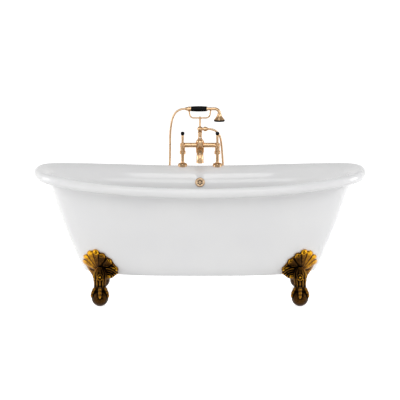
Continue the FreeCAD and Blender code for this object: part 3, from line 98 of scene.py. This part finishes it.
def finish(name, **shader):
    """A new material and its shader, with these constants set on the shader."""
    material = bpy.data.materials.new(name)
    material.use_nodes = True
    tree = material.node_tree
    tree.nodes.clear()
    surface = add(tree, "ShaderNodeBsdfPrincipled",
                  {key.replace("_", " "): value for key, value in shader.items()})
    add(tree, "ShaderNodeOutputMaterial", {"Surface": surface.outputs["BSDF"]})
    return material, surface


def grain(tree, size_mm, detail=2, stretch=(1, 1, 1)):
    """Noise on the object's own coordinates whose features are about that many millimetres."""
    place = add(tree, "ShaderNodeTexCoord").outputs["Object"]
    place = add(tree, "ShaderNodeMapping", {"Vector": place, "Scale": stretch}).outputs["Vector"]
    noise = add(tree, "ShaderNodeTexNoise", {"Vector": place, "Scale": 1000 / size_mm, "Detail": detail})
    return noise.outputs["Fac"]


def mottle(surface, channel, size_mm, *stops, detail=2, stretch=(1, 1, 1)):
    """Tones for one channel of a finish, in patches of about that many millimetres."""
    tree = surface.id_data
    tones = add(tree, "ShaderNodeValToRGB", {"Fac": grain(tree, size_mm, detail, stretch)}, stops)
    tree.links.new(tones.outputs["Color"], surface.inputs[channel])


def relief(surface, size_mm, strength, depth, detail=2, stretch=(1, 1, 1)):
    """Unevenness of a finish that is too fine to be in the shape, in bumps of about that size."""
    tree = surface.id_data
    bumps = add(tree, "ShaderNodeBump", {"Height": grain(tree, size_mm, detail, stretch),
                                         "Strength": strength, "Distance": depth})
    tree.links.new(bumps.outputs["Normal"], surface.inputs["Normal"])


def plated(name, roughness, deep, light):
    """Brass polished on a mop and plated a pale pink gold, between two tones: bright, with faint
    clouds from the plater's bath. The mop's hair lines are drawn 0.6 mm apart, so that they show."""
    material, surface = finish(name, Metallic=1.0, Specular_Tint=linear("#d2b08a"))
    mottle(surface, "Base Color", 14, (0.3, deep), (0.7, light))
    mottle(surface, "Roughness", 9, (0.35, roughness * 0.8), (0.7, roughness * 1.25), detail=3)
    relief(surface, 0.6, strength=0.018, depth=0.0002, stretch=(1, 1, 0.15))
    return material


# from the cone on the handset to the nut at the tee, as (across, back, up) in mm
HOSE_RUN = [
    (-77, 345, 923), (-96, 345, 923), (-124, 346, 908), (-142, 349, 877), (-149, 355, 842),
    (-155, 367, 790), (-155, 386, 705), (-158, 399, 587), (-159, 401.5, 466), (-149, 401.5, 354),
    (-109, 401.5, 281), (-45, 401.5, 253), (11, 401.5, 253), (71, 401.5, 281), (107, 401.5, 345),
    (120, 401.5, 428), (122, 401.5, 511), (120, 394, 609), (115, 373, 691), (110, 359, 746),
    (104, 351, 780), (87, 347, 805), (60, 345, 817.5), (41, 345, 817.5),
]
route = bpy.data.curves.new("hose_route", "CURVE")
route.dimensions = "3D"
spline = route.splines.new("NURBS")
spline.points.add(len(HOSE_RUN) - 1)
for point, place in zip(spline.points, HOSE_RUN):
    point.co = (*(value / 1000 for value in place), 1)
spline.order_u = 3
spline.use_endpoint_u = True
spline.resolution_u = 12
route_object = bpy.data.objects.new("hose_route", route)
scene.collection.objects.link(route_object)

# the tube: rings along the route whose size rises and falls with each turn of the strip
HOSE_INPUTS = (("Route", "Object", route_object), ("Radius", "Float", 0.0055), ("Pitch", "Float", 0.0026),
               ("Rib", "Float", 0.03), ("Rings per pitch", "Float", 4.0), ("Sides", "Int", 14))
tree = bpy.data.node_groups.new("ribbed_hose", "GeometryNodeTree")
tree.interface.new_socket("Geometry", in_out="OUTPUT", socket_type="NodeSocketGeometry")
sockets = [tree.interface.new_socket(label, in_out="INPUT", socket_type="NodeSocket" + kind)
           for label, kind, _ in HOSE_INPUTS]
given = add(tree, "NodeGroupInput").outputs
line = add(tree, "GeometryNodeObjectInfo", {"Object": given["Route"]})
step = add(tree, "ShaderNodeMath", {0: given["Pitch"], 1: given["Rings per pitch"]}, operation="DIVIDE")
line = add(tree, "GeometryNodeResampleCurve",
           {"Curve": line.outputs["Geometry"], "Length": step.outputs[0]}, mode="LENGTH")
along = add(tree, "GeometryNodeSplineParameter").outputs["Length"]
turn = add(tree, "ShaderNodeMath", {0: along, 1: given["Pitch"]}, operation="DIVIDE")
turn = add(tree, "ShaderNodeMath", {0: turn.outputs[0], 1: math.tau}, operation="MULTIPLY")
wave = add(tree, "ShaderNodeMath", {0: turn.outputs[0]}, operation="SINE")
wave = add(tree, "ShaderNodeMath", {0: wave.outputs[0], 1: given["Rib"], 2: 1.0}, operation="MULTIPLY_ADD")
ring = add(tree, "GeometryNodeCurvePrimitiveCircle",
           {"Radius": given["Radius"], "Resolution": given["Sides"]})
tube = add(tree, "GeometryNodeCurveToMesh", {"Curve": line.outputs["Curve"], "Fill Caps": True,
                                             "Profile Curve": ring.outputs["Curve"],
                                             "Scale": wave.outputs[0]})
smooth = add(tree, "GeometryNodeSetShadeSmooth", {"Geometry": tube.outputs["Mesh"]})
real = add(tree, "GeometryNodeRealizeInstances", {"Geometry": smooth.outputs[0]})
painted = add(tree, "GeometryNodeSetMaterial", {
    "Geometry": real.outputs[0], "Material": plated("pale_gold_plated_hose", 0.3, "#d9b28b", "#e6c8a5")})
add(tree, "NodeGroupOutput", {"Geometry": painted.outputs[0]})

hose = bpy.data.objects.new("hose", bpy.data.meshes.new("hose"))
scene.collection.objects.link(hose)
winding = hose.modifiers.new("winding", "NODES")
winding.node_group = tree
for socket, (_, _, value) in zip(sockets, HOSE_INPUTS):
    winding[socket.identifier] = value
bpy.context.view_layer.update()
evaluated = bpy.context.evaluated_depsgraph_get()
hose_mesh = bpy.data.meshes.new_from_object(hose.evaluated_get(evaluated))
hose.modifiers.clear()
hose.data = hose_mesh
line_mesh = bpy.data.meshes.new_from_object(route_object.evaluated_get(evaluated))
bpy.data.objects.remove(route_object)
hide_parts("shower_hose")
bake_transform(hose)

# ---- Bath
# Two vacuum-formed sheets of white sanitary acrylic: the basin with its rolled rim, and the skin
# bonded under it. The sheet keeps a high gloss, with a slow waviness from the forming.
material, surface = finish("white_sanitary_acrylic", IOR=1.49, Coat_Weight=0.25, Coat_Roughness=0.03)
mottle(surface, "Base Color", 260, (0.3, "#e3e3e4"), (0.7, "#e6e6e6"))
mottle(surface, "Roughness", 40, (0.3, 0.1), (0.7, 0.14), detail=4)
relief(surface, 90, strength=0.15, depth=0.0006, detail=1)


def dress(material, *names):
    """Gives pieces that come from the CAD as they are their material."""
    for name in names:
        mesh = cad[name].data
        mesh.materials.clear()
        mesh.materials.append(material)


dress(material, "inner_shell", "outer_shell")

# ---- Base between the skins
# A chipboard panel on sawn softwood bearers, laminated in under the basin and hidden once the skin
# is on. The inserts that take the studs of the feet are turned brass.

# Chipboard: straw and brown flakes, 4 mm across, dull from the press.
FLAKE_MM = 4
material, surface = finish("raw_chipboard", Roughness=0.85)
tree = surface.id_data
place = add(tree, "ShaderNodeTexCoord").outputs["Object"]
flakes = add(tree, "ShaderNodeTexVoronoi", {"Vector": place, "Scale": 1000 / FLAKE_MM})
tones = add(tree, "ShaderNodeValToRGB", {"Fac": flakes.outputs["Distance"]},
            ((0.1, "#8f7350"), (0.5, "#c4a67a")))
tree.links.new(tones.outputs["Color"], surface.inputs["Base Color"])
dress(material, "baseboard")
# Softwood: growth rings 6 mm wide, drawn out along the bearer.
material, surface = finish("sawn_softwood", Roughness=0.75)
mottle(surface, "Base Color", 6, (0.35, "#b98f5c"), (0.6, "#d8b585"), detail=3, stretch=(1, 0.06, 1))
dress(material, "floor_bearers")
# Brass as turned: yellow, with brighter and duller patches from the tool.
material, surface = finish("turned_brass", Metallic=1.0)
mottle(surface, "Base Color", 3, (0.3, "#a98a4c"), (0.7, "#c7a767"))
mottle(surface, "Roughness", 2, (0.3, 0.25), (0.7, 0.4))
dress(material, "stud_inserts")

# ---- Waste, its plug and the pipes behind the skins
# The ring and the domed plug are plated like the mixer. Under the basin sit a moulded black body
# and elbow with rubber seals, and a white overflow pipe in two clips.
polished = plated("pale_gold_plated_brass", 0.25, "#cba57c", "#dab891")
dress(polished, "waste_flange", "waste_plug")
# Moulded plastic: a satin black. The mould's fine grain is drawn 1 mm across, so that it shows.
material, surface = finish("moulded_black_plastic", IOR=1.49)
mottle(surface, "Base Color", 1.2, (0.3, "#1b1b1c"), (0.7, "#232324"))
mottle(surface, "Roughness", 0.8, (0.3, 0.4), (0.7, 0.55))
dress(material, "waste_body", "overflow_elbow", "pipe_clips")
# Rubber: black without a shine, dusted here and there.
material, surface = finish("matt_black_rubber", IOR=1.5)
mottle(surface, "Base Color", 0.9, (0.3, "#141414"), (0.7, "#1d1d1d"))
mottle(surface, "Roughness", 1.5, (0.3, 0.7), (0.7, 0.85))
dress(material, "waste_seal", "waste_plug_seal", "overflow_seal", "flange_seals")
# PVC, drawn or moulded: an even, faintly warm white with half a shine.
material, surface = finish("white_pvc_pipe", IOR=1.5, Roughness=0.35)
mottle(surface, "Base Color", 20, (0.3, "#d3d3d0"), (0.7, "#dcdcd9"))
dress(material, "overflow_pipe", "flow_straightener", "rose_face")

# ---- Overflow grille
# A turned brass cover with six drilled holes, held over the overflow by the screw in its middle.
# It is plated like the mixer, but rougher, and the plating's colour is darker: painted shade.
dress(plated("pale_gold_plating_with_painted_shade", 0.38, "#a58c70", "#b79e82"), "overflow_grille", "overflow_screw")

# ---- Mixer, handset and cradle
# Cast and turned brass, polished and plated. The two legs stand on the rim over rubber seats and
# are drawn down by nuts under it; the handset lies in its cradle on top.
dress(polished, "leg_left", "leg_right", "leg_unions", "mixer_body", "valve_left", "valve_right",
      "spindle_left", "spindle_right", "lever_left", "lever_right", "lever_screw_left",
      "lever_screw_right", "spout", "riser", "diverter_knob", "hose_nut", "cradle", "handset_tube",
      "grip_ferrules", "rose_bell", "hose_cone")
# Enamel: a glossy, faintly uneven white.
material, surface = finish("white_enamel", IOR=1.5, Roughness=0.2)
mottle(surface, "Base Color", 5, (0.3, "#e2e2df"), (0.7, "#ebebe8"))
dress(material, "diverter_button")
# Pressed phenolic, buffed: near black, with small, dim highlights.
material, surface = finish("black_phenolic", IOR=1.45, Specular_IOR_Level=0.08)
mottle(surface, "Base Color", 12, (0.3, "#070708"), (0.7, "#0d0d0e"))
mottle(surface, "Roughness", 3, (0.3, 0.15), (0.7, 0.25))
# The rim of the rose takes the same near black, as a dark band round its face.
dress(material, "grip", "lever_cap_left", "lever_cap_right", "rose_rim")

# ---- Feet
# Four like castings in iron, each bolted up under the bath by its lug and painted antique gold. A
# scallop shell lies on the skin, and an ankle with flutes ends in four toes that grip a ball.
FOOT = Vector((-0.51, -0.25, 0))
BALL = 0.043
# below this height the skin turns under the bath, and the shell goes on straight down
SKIN_TURNS = 0.168
skin = BVHTree.FromPolygons([v.co for v in cad["outer_shell"].data.vertices],
                            [p.vertices for p in cad["outer_shell"].data.polygons])


def skin_front(x, z):
    """Where the skin of the bath is behind a point of the foot. The ray misses it only beyond the
    edge of the shell, where no point is kept, and any value will do."""
    hit = skin.ray_cast(Vector((x, -1, max(z, SKIN_TURNS))), Vector((0, 1, 0)))[0]
    return hit.y if hit else -0.02


def shape_of(points, faces):
    """A mesh from arrays of points and faces."""
    mesh = bpy.data.meshes.new("part")
    mesh.from_pydata([tuple(p) for p in points], [], [tuple(int(i) for i in f) for f in faces])
    return mesh


def rings_of(rings):
    """A closed mesh through rings of points that all have the same count."""
    count = len(rings[0])
    points = [p for ring in rings for p in ring]
    faces = []
    for i in range(len(rings) - 1):
        for j in range(count):
            k = (j + 1) % count
            faces.append((i * count + j, i * count + k, (i + 1) * count + k, (i + 1) * count + j))
    faces.append(range(count - 1, -1, -1))
    faces.append(range((len(rings) - 1) * count, len(rings) * count))
    return shape_of(points, faces)


# the shell, in mm across from the foot's middle and above the floor: its lobes with their sizes,
# the root that the ribs fan out from, and the outline below and between the lobes
LOBES = [(-74, 206, 18), (-71, 232, 17), (-50, 253, 19), (-23, 262, 20), (9, 246, 21), (45, 219, 20),
         (75, 180, 19)]
ROOT = np.array((-9.0, 168.0))
OUTLINE = np.array([(-27, 120), (-66, 170), (-86, 212), (-58, 272), (-20, 274), (19, 258), (56, 232),
                    (88, 190), (93, 160), (62, 134), (28, 120)], float)


def near_line(p, a, b):
    """Distance of points from a line between two others, and how far along it they are."""
    span = b - a
    along = np.clip(((p - a) @ span) / (span @ span), 0, 1)
    return np.linalg.norm(p - (a + along[:, None] * span), axis=1), along


def inside_shell(p):
    """Distance of points from the edge of the shell, in mm, positive inside."""
    crossings = np.zeros(len(p), bool)
    nearest = np.full(len(p), 1e3)
    for a, b in zip(OUTLINE, np.roll(OUTLINE, -1, 0)):
        over = (a[1] > p[:, 1]) != (b[1] > p[:, 1])
        rise = np.where(b[1] == a[1], 1e-9, b[1] - a[1])
        crossings ^= over & (p[:, 0] < (b[0] - a[0]) * (p[:, 1] - a[1]) / rise + a[0])
        nearest = np.minimum(nearest, near_line(p, a, b)[0])
    signed = np.where(crossings, nearest, -nearest)
    for x, z, size in LOBES:
        signed = np.maximum(signed, size - np.linalg.norm(p - (x, z), axis=1))
    return signed


# a grid of points over the shell, and how far each stands proud of the skin, all in mm
STEP = 1.5
xs = np.arange(-98, 99, STEP)
zs = np.arange(118, 287, STEP)
grid = np.array([(x, z) for z in zs for x in xs])
inside = inside_shell(grid)
EDGE, CROWN, ROUNDING = 4, 7, 9
proud = EDGE + CROWN * np.sqrt(np.clip(inside / ROUNDING, 0, 1))
# ribs, broader and higher from the root to the lobes
RIB_FOOT, RIB_WIDTH, RIB_SPREAD, RIB_HEIGHT, RIB_RISE = 5, 4.5, 0.92, 3.5, 5.5
for x, z, size in LOBES:
    away, along = near_line(grid, ROOT, np.array((x, z), float))
    width = RIB_WIDTH + (size * RIB_SPREAD - RIB_WIDTH) * along ** 0.8
    rib = np.sqrt(np.clip(1 - (away / width) ** 2, 0, 1)) * (RIB_HEIGHT + RIB_RISE * along)
    rib += np.minimum(EDGE + CROWN, RIB_FOOT + inside)
    proud = np.maximum(proud, np.where(inside > 0, rib, 0))
# the leaf that curls from the shell down to the ankle
LEAF_MIDDLE, LEAF_WIDTH, LEAF_TOP, LEAF_CURL, LEAF_PROUD, LEAF_EDGE = -4, 34, 184, 60, 46, 20
leaf = np.exp(-((grid[:, 0] - LEAF_MIDDLE) / LEAF_WIDTH) ** 2)
leaf *= np.clip((LEAF_TOP - grid[:, 1]) / LEAF_CURL, 0, 1) ** 1.5
proud += LEAF_PROUD * leaf * np.clip(inside / LEAF_EDGE, 0, 1)
# the scroll of leaves beside it, towards the middle of the bath: rings round an eye at its foot
SCROLL_EYE, SCROLL_PITCH, SCROLL_PROUD, SCROLL_EDGE = (34, 118), 13, 2.2, 6
SCROLL_SIDE, SCROLL_TOP, SCROLL_FADE = 18, 206, 14
reach = np.linalg.norm(grid - SCROLL_EYE, axis=1)
scroll = np.clip((grid[:, 0] - SCROLL_SIDE) / SCROLL_FADE, 0, 1)
scroll *= np.clip((SCROLL_TOP - grid[:, 1]) / SCROLL_FADE, 0, 1)
waves = SCROLL_PROUD * np.cos(math.tau * reach / SCROLL_PITCH)
proud += waves * scroll * np.clip(inside / SCROLL_EDGE, 0, 1)

# the shell as a closed plate: a front and a back sheet with walls along the edge, just off the skin
OFF_SKIN = 0.0005
across = FOOT.x + grid[:, 0] / 1000
up = grid[:, 1] / 1000
seat = np.array([skin_front(x, z) for x, z in zip(across, up)]) - OFF_SKIN
front = np.column_stack((across, seat - proud / 1000, up))
back = np.column_stack((across, seat, up))
kept = inside > -STEP / 2
squares = {}
for r in range(len(zs) - 1):
    for c in range(len(xs) - 1):
        corner = r * len(xs) + c
        square = (corner, corner + 1, corner + len(xs) + 1, corner + len(xs))
        if kept[list(square)].all():
            squares[r, c] = square
behind = len(grid)
faces = list(squares.values())
faces += [tuple(i + behind for i in reversed(square)) for square in squares.values()]
for (r, c), (p1, p2, p3, p4) in squares.items():
    sides = (((r - 1, c), p1, p2), ((r, c + 1), p2, p3), ((r + 1, c), p3, p4), ((r, c - 1), p4, p1))
    for beside, a, b in sides:
        if beside not in squares:
            faces.append((b, a, a + behind, b + behind))
parts = [shape_of(np.vstack((front, back)), faces)]

# ankle: rows of (forward of the ball's centre, height, half width, half depth), in mm, and its
# flutes, by their count, their depth as a share, and the height that they fade out above and below
ANKLE = [(-64, 190, 12, 12), (-54, 175, 27, 18), (-42, 158, 35, 23), (-21, 138, 31, 28), (-10, 114, 29, 29),
         (-4, 80, 30, 30), (0, 56, 33, 33), (0, 35, 20, 20)]
FLUTES, FLUTE_DEPTH, FLUTE_HEIGHT, FLUTE_FADE = 12, 0.08, 130, 42
RINGS_PER_ROW, POINTS_ROUND = 6, 96
rings = []
for i in range((len(ANKLE) - 1) * RINGS_PER_ROW + 1):
    k, t = divmod(i / RINGS_PER_ROW, 1)
    a, b = np.array(ANKLE[int(k)]), np.array(ANKLE[min(int(k) + 1, len(ANKLE) - 1)])
    out, z, wide, deep = a + (b - a) * t
    flute = FLUTE_DEPTH * math.exp(-((z - FLUTE_HEIGHT) / FLUTE_FADE) ** 4)
    ring_points = []
    for j in range(POINTS_ROUND):
        turn = math.tau * j / POINTS_ROUND
        wave = 1 + flute * math.cos(turn * FLUTES)
        ring_points.append((FOOT.x + wide * wave * math.cos(turn) / 1000,
                            FOOT.y - (out - deep * wave * math.sin(turn)) / 1000, z / 1000))
    rings.append(ring_points)
parts.append(rings_of(rings))


def ball_at(place, radius):
    """A round lump of the casting."""
    mesh = bpy.data.meshes.new("part")
    lump = bmesh.new()
    bmesh.ops.create_uvsphere(lump, u_segments=40, v_segments=26, radius=radius)
    bmesh.ops.translate(lump, vec=place, verts=lump.verts)
    lump.to_mesh(mesh)
    lump.free()
    parts.append(mesh)


ball_at(FOOT + Vector((0, 0, BALL)), BALL)
# a toe: knuckles and nail, as (outwards, up, size) in shares of the ball's radius, run together
# from lumps; one points forward, one to each side and one back
TOE = [(0.5, 2.25, 0.2), (0.7, 2.06, 0.23), (0.82, 1.84, 0.2), (0.9, 1.68, 0.22), (0.96, 1.5, 0.18),
       (1.0, 1.34, 0.19), (1.01, 1.2, 0.14), (1.0, 1.08, 0.07)]
TOE_WAYS = (-68, 0, 68, 180)
for degrees in TOE_WAYS:
    way = math.radians(degrees)
    for (o1, u1, s1), (o2, u2, s2) in zip(TOE, TOE[1:]):
        for t in (0, 0.2, 0.4, 0.6, 0.8):
            out, up, size = o1 + (o2 - o1) * t, u1 + (u2 - u1) * t, s1 + (s2 - s1) * t
            place = FOOT + Vector((out * math.sin(way), -out * math.cos(way), up)) * BALL
            ball_at(place, size * BALL)
# rosette on the front of the ankle: (bead, reach, count) of its boss and of the ring round it, in
# metres, laid back at the sides as the ankle is round
ROSETTE = ((0.0066, 0, 1), (0.003, 0.0125, 18))
ROSETTE_HEIGHT = 0.146
LAID_BACK = 12
heights = [row[1] for row in ANKLE[::-1]]
fronts = [FOOT.y - (row[0] + row[3]) / 1000 for row in ANKLE[::-1]]
for bead, reach, count in ROSETTE:
    for i in range(count):
        turn = math.tau * i / count
        x, z = reach * math.cos(turn), ROSETTE_HEIGHT + reach * math.sin(turn)
        y = float(np.interp(z * 1000, heights, fronts)) + x * x * LAID_BACK
        ball_at((FOOT.x + x, y, z), bead)
# lug that the nut and washer clamp under the bath
LUG_MIDDLE = (-0.475, -0.155, 0.1425)
LUG_SIZE = (0.034, 0.1, 0.013)
lug = bmesh.new()
bmesh.ops.create_cube(lug, size=1)
for v in lug.verts:
    v.co = [middle + share * size for middle, share, size in zip(LUG_MIDDLE, v.co, LUG_SIZE)]
lug_mesh = bpy.data.meshes.new("part")
lug.to_mesh(lug_mesh)
lug.free()
parts.append(lug_mesh)

# the parts run together, as a casting does, and its points, edges and neighbours as arrays
VOXEL = 0.0014
casting = bmesh.new()
for mesh in parts:
    casting.from_mesh(mesh)
joined = bpy.data.meshes.new("foot_cast")
casting.to_mesh(joined)
casting.free()
rough = bpy.data.objects.new("foot_cast", joined)
scene.collection.objects.link(rough)
remesh = rough.modifiers.new("remesh", "REMESH")
remesh.mode = "VOXEL"
remesh.voxel_size = VOXEL
remesh.use_smooth_shade = True
bpy.context.view_layer.update()
cast = bpy.data.meshes.new_from_object(rough.evaluated_get(bpy.context.evaluated_depsgraph_get()))
bpy.data.objects.remove(rough)


def rows_of(items, name, width, kind=float):
    """What a mesh keeps for its points or edges, as rows of an array."""
    rows = np.zeros(len(items) * width, kind)
    items.foreach_get(name, rows)
    return rows.reshape(-1, width)


points = rows_of(cast.vertices, "co", 3)
edges = rows_of(cast.edges, "vertices", 2, int)
neighbours = np.bincount(edges.ravel(), minlength=len(points))


def relaxed(values, times):
    """Values averaged with their neighbours on the mesh."""
    for _ in range(times):
        total = np.zeros_like(values)
        np.add.at(total, edges[:, 0], values[edges[:, 1]])
        np.add.at(total, edges[:, 1], values[edges[:, 0]])
        values = values * 0.5 + 0.5 * total / neighbours[:, None]
    return values


points = relaxed(points, 2)
# drilled eyes under the lobes, each a round groove with a bead left in it; all in mm
EYES = ((-21, 267), (5, 251), (45, 227), (76, 187))
GROOVE_RADIUS, GROOVE_WIDTH, GROOVE_DEPTH = 4.6, 1.9, 5
SHELL_FRONT = 6
for x, z in EYES:
    spot = np.array((FOOT.x + x / 1000, z / 1000))
    away = np.linalg.norm(points[:, [0, 2]] - spot, axis=1) * 1000
    front_side = points[:, 1] < skin_front(*spot) - SHELL_FRONT / 1000
    depth = GROOVE_DEPTH * np.exp(-((away - GROOVE_RADIUS) / GROOVE_WIDTH) ** 2)
    points[:, 1] += np.where(front_side, depth, 0) / 1000
cast.vertices.foreach_set("co", points.ravel())
cast.update()
normals = rows_of(cast.vertices, "normal", 3)
# how deep each point lies in a hollow, in mm: narrow ones count in full, broad ones in part
hollow = np.zeros(len(points))
for times, share in ((18, 1), (90, 0.6)):
    hollow += share * np.einsum("ij,ij->i", relaxed(points, times) - points, normals) * 1000

# The paint: gold with a black glaze over it, which a rag took off the ridges. So it is bright on
# the ridges and near black in the hollows, and blotted every 7 mm. Painted shade darkens the side
# towards the middle of the bath and the ankle. The grit that the sand left in the iron is drawn
# 1.6 mm across, coarser than it is, so that it shows.
BLOTS = 0.35
material, surface = finish("antique_gold_on_cast_iron", Metallic=1.0)
tree = surface.id_data
# the attribute holds the glaze in the hollows and the painted shade on the inner side and the ankle
glaze_and_shade = add(tree, "ShaderNodeAttribute", attribute_name="hollow").outputs["Fac"]
blots = add(tree, "ShaderNodeMath", {0: grain(tree, 7, 4), 1: BLOTS, 2: -BLOTS / 2},
            operation="MULTIPLY_ADD")
glaze_and_shade = add(tree, "ShaderNodeMath", {0: glaze_and_shade, 1: blots.outputs[0]}, operation="ADD").outputs[0]
for channel, stops in (
        ("Base Color", ((0.12, "#d79c1d"), (0.27, "#8d6019"), (0.42, "#4e3212"), (0.6, "#0b0602"))),
        ("Roughness", ((0.2, 0.28), (0.75, 0.6)))):
    tones = add(tree, "ShaderNodeValToRGB", {"Fac": glaze_and_shade}, stops)
    tree.links.new(tones.outputs["Color"], surface.inputs[channel])
relief(surface, 1.6, strength=0.25, depth=0.0003, detail=3)
cast.materials.clear()
cast.materials.append(material)
# painted shade: the side towards the middle of the bath and the ankle with its ball are darkened, and their
# hollows tell less; the outer lobes stay bright
PAINTED_SHADE_FROM, PAINTED_SHADE_OVER = -0.042, 0.05
PAINTED_SHADE_BELOW, PAINTED_SHADE_RISE = 0.165, 0.03
painted_shade = np.clip((points[:, 0] - FOOT.x - PAINTED_SHADE_FROM) / PAINTED_SHADE_OVER, 0, 1)
painted_shade = np.maximum(painted_shade, np.clip((PAINTED_SHADE_BELOW - points[:, 2]) / PAINTED_SHADE_RISE, 0, 1))
# the glaze left on level metal, and how much more of it lies in each millimetre of a hollow, each with the
# change that the painted shade makes
GLAZE, PAINTED_SHADE_GLAZE = 0.33, 0.27
PER_MM, PER_MM_IN_PAINTED_SHADE = 0.26, 0.09
# the glaze in the hollows and the painted shade, stored together on the points
layer = cast.attributes.new("hollow", "FLOAT", "POINT")
layer.data.foreach_set("value", np.clip(
    GLAZE + hollow * (PER_MM - PER_MM_IN_PAINTED_SHADE * painted_shade) + PAINTED_SHADE_GLAZE * painted_shade, 0, 1))
for name, flips in (("front_left", (1, 1)), ("front_right", (-1, 1)), ("rear_left", (1, -1)),
                    ("rear_right", (-1, -1))):
    mesh = cast.copy()
    mesh.transform(Matrix.Diagonal((*flips, 1, 1)))
    if flips[0] * flips[1] < 0:
        mesh.flip_normals()
    mesh.update()
    foot = bpy.data.objects.new("cast_foot_" + name, mesh)
    scene.collection.objects.link(foot)
    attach(foot, "bath")
    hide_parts("foot_" + name)

# ---- Nuts, studs and washers
# Steel studs, washers and nuts under the feet, and the mixer's backnuts under the rim. Zinc plate
# leaves them a dull blue grey, with spangles drawn 3 mm across.
material, surface = finish("zinc_plated_steel", Metallic=1.0)
mottle(surface, "Base Color", 3, (0.3, "#9a9ca0"), (0.7, "#b4b6b8"))
mottle(surface, "Roughness", 2, (0.3, 0.3), (0.7, 0.45))
dress(material, "foot_studs", "foot_washers", "foot_nuts", "tail_washers", "tail_nuts")

# ---- Floor, air and lamps
# A white studio. The floor is a matt white sheet that keeps the soft shadow of the bath, lifted
# for the camera and for mirrors so that it runs into the white behind it.
FLOOR_REACH = 60
FLOOR_LIFT = 0.72
material, surface = finish("white_floor", Roughness=0.9, IOR=1.3)
surface.inputs["Base Color"].default_value = linear("#f2f2f2")
tree = surface.id_data
ray = add(tree, "ShaderNodeLightPath").outputs
seen = add(tree, "ShaderNodeMath", {0: ray["Is Camera Ray"], 1: ray["Is Glossy Ray"]}, operation="MAXIMUM")
level = add(tree, "ShaderNodeMath", {0: seen.outputs[0], 1: FLOOR_LIFT}, operation="MULTIPLY")
lift = add(tree, "ShaderNodeEmission", {"Color": linear("#ffffff"), "Strength": level.outputs[0]})
both = add(tree, "ShaderNodeAddShader", {0: surface.outputs[0], 1: lift.outputs[0]})
tree.links.new(both.outputs[0], tree.nodes["Material Output"].inputs["Surface"])
sheet = bpy.data.meshes.new("floor")
corners = [(FLOOR_REACH * x, FLOOR_REACH * y, 0) for x, y in ((-1, -1), (1, -1), (1, 1), (-1, 1))]
sheet.from_pydata(corners, [], [(0, 1, 2, 3)])
sheet.materials.append(material)
floor = bpy.data.objects.new("floor", sheet)
scene.collection.objects.link(floor)

# the air: white to the camera, and to the bath light from below and dimmer from overhead
world = bpy.data.worlds.new("studio")
scene.world = world
world.use_nodes = True
tree = world.node_tree
tree.nodes.clear()
ray = add(tree, "ShaderNodeLightPath").outputs
seen = add(tree, "ShaderNodeMath", {0: ray["Is Camera Ray"], 1: ray["Is Transmission Ray"]},
           operation="MAXIMUM")
way = add(tree, "ShaderNodeSeparateXYZ", {"Vector": add(tree, "ShaderNodeTexCoord").outputs["Generated"]})
glow = add(tree, "ShaderNodeValToRGB", {"Fac": way.outputs["Z"]}, ((0.0, 0.91), (0.4, 0.66), (1.0, 0.24)))
air = add(tree, "ShaderNodeBackground", {"Color": glow.outputs["Color"], "Strength": 1.0})
white = add(tree, "ShaderNodeBackground", {"Color": linear("#ffffff"), "Strength": 1.0})
mixed = add(tree, "ShaderNodeMixShader", {0: seen.outputs[0], 1: air.outputs[0], 2: white.outputs[0]})
add(tree, "ShaderNodeOutputWorld", {"Surface": mixed.outputs[0]})

BATH_MIDDLE = Vector((0, 0, 0.5))


def soft_box(name, place, size, power):
    """A soft box that faces the bath."""
    light = bpy.data.lights.new(name, "AREA")
    light.shape = "RECTANGLE"
    light.size, light.size_y = size
    light.energy = power
    box = bpy.data.objects.new(name, light)
    box.location = place
    box.rotation_euler = (BATH_MIDDLE - Vector(place)).to_track_quat("-Z", "Y").to_euler()
    scene.collection.objects.link(box)


soft_box("soft_box_left", (-4.2, -0.1, 1.7), (1.6, 2.0), 52)
soft_box("soft_box_right", (4.2, -0.1, 1.7), (1.6, 2.0), 52)
soft_box("soft_box_front", (0, -2.6, 2.9), (3.4, 2.2), 43)
soft_box("soft_box_top", (0, -0.5, 3.0), (0.45, 0.7), 2.6)

scene.view_settings.view_transform = "Standard"
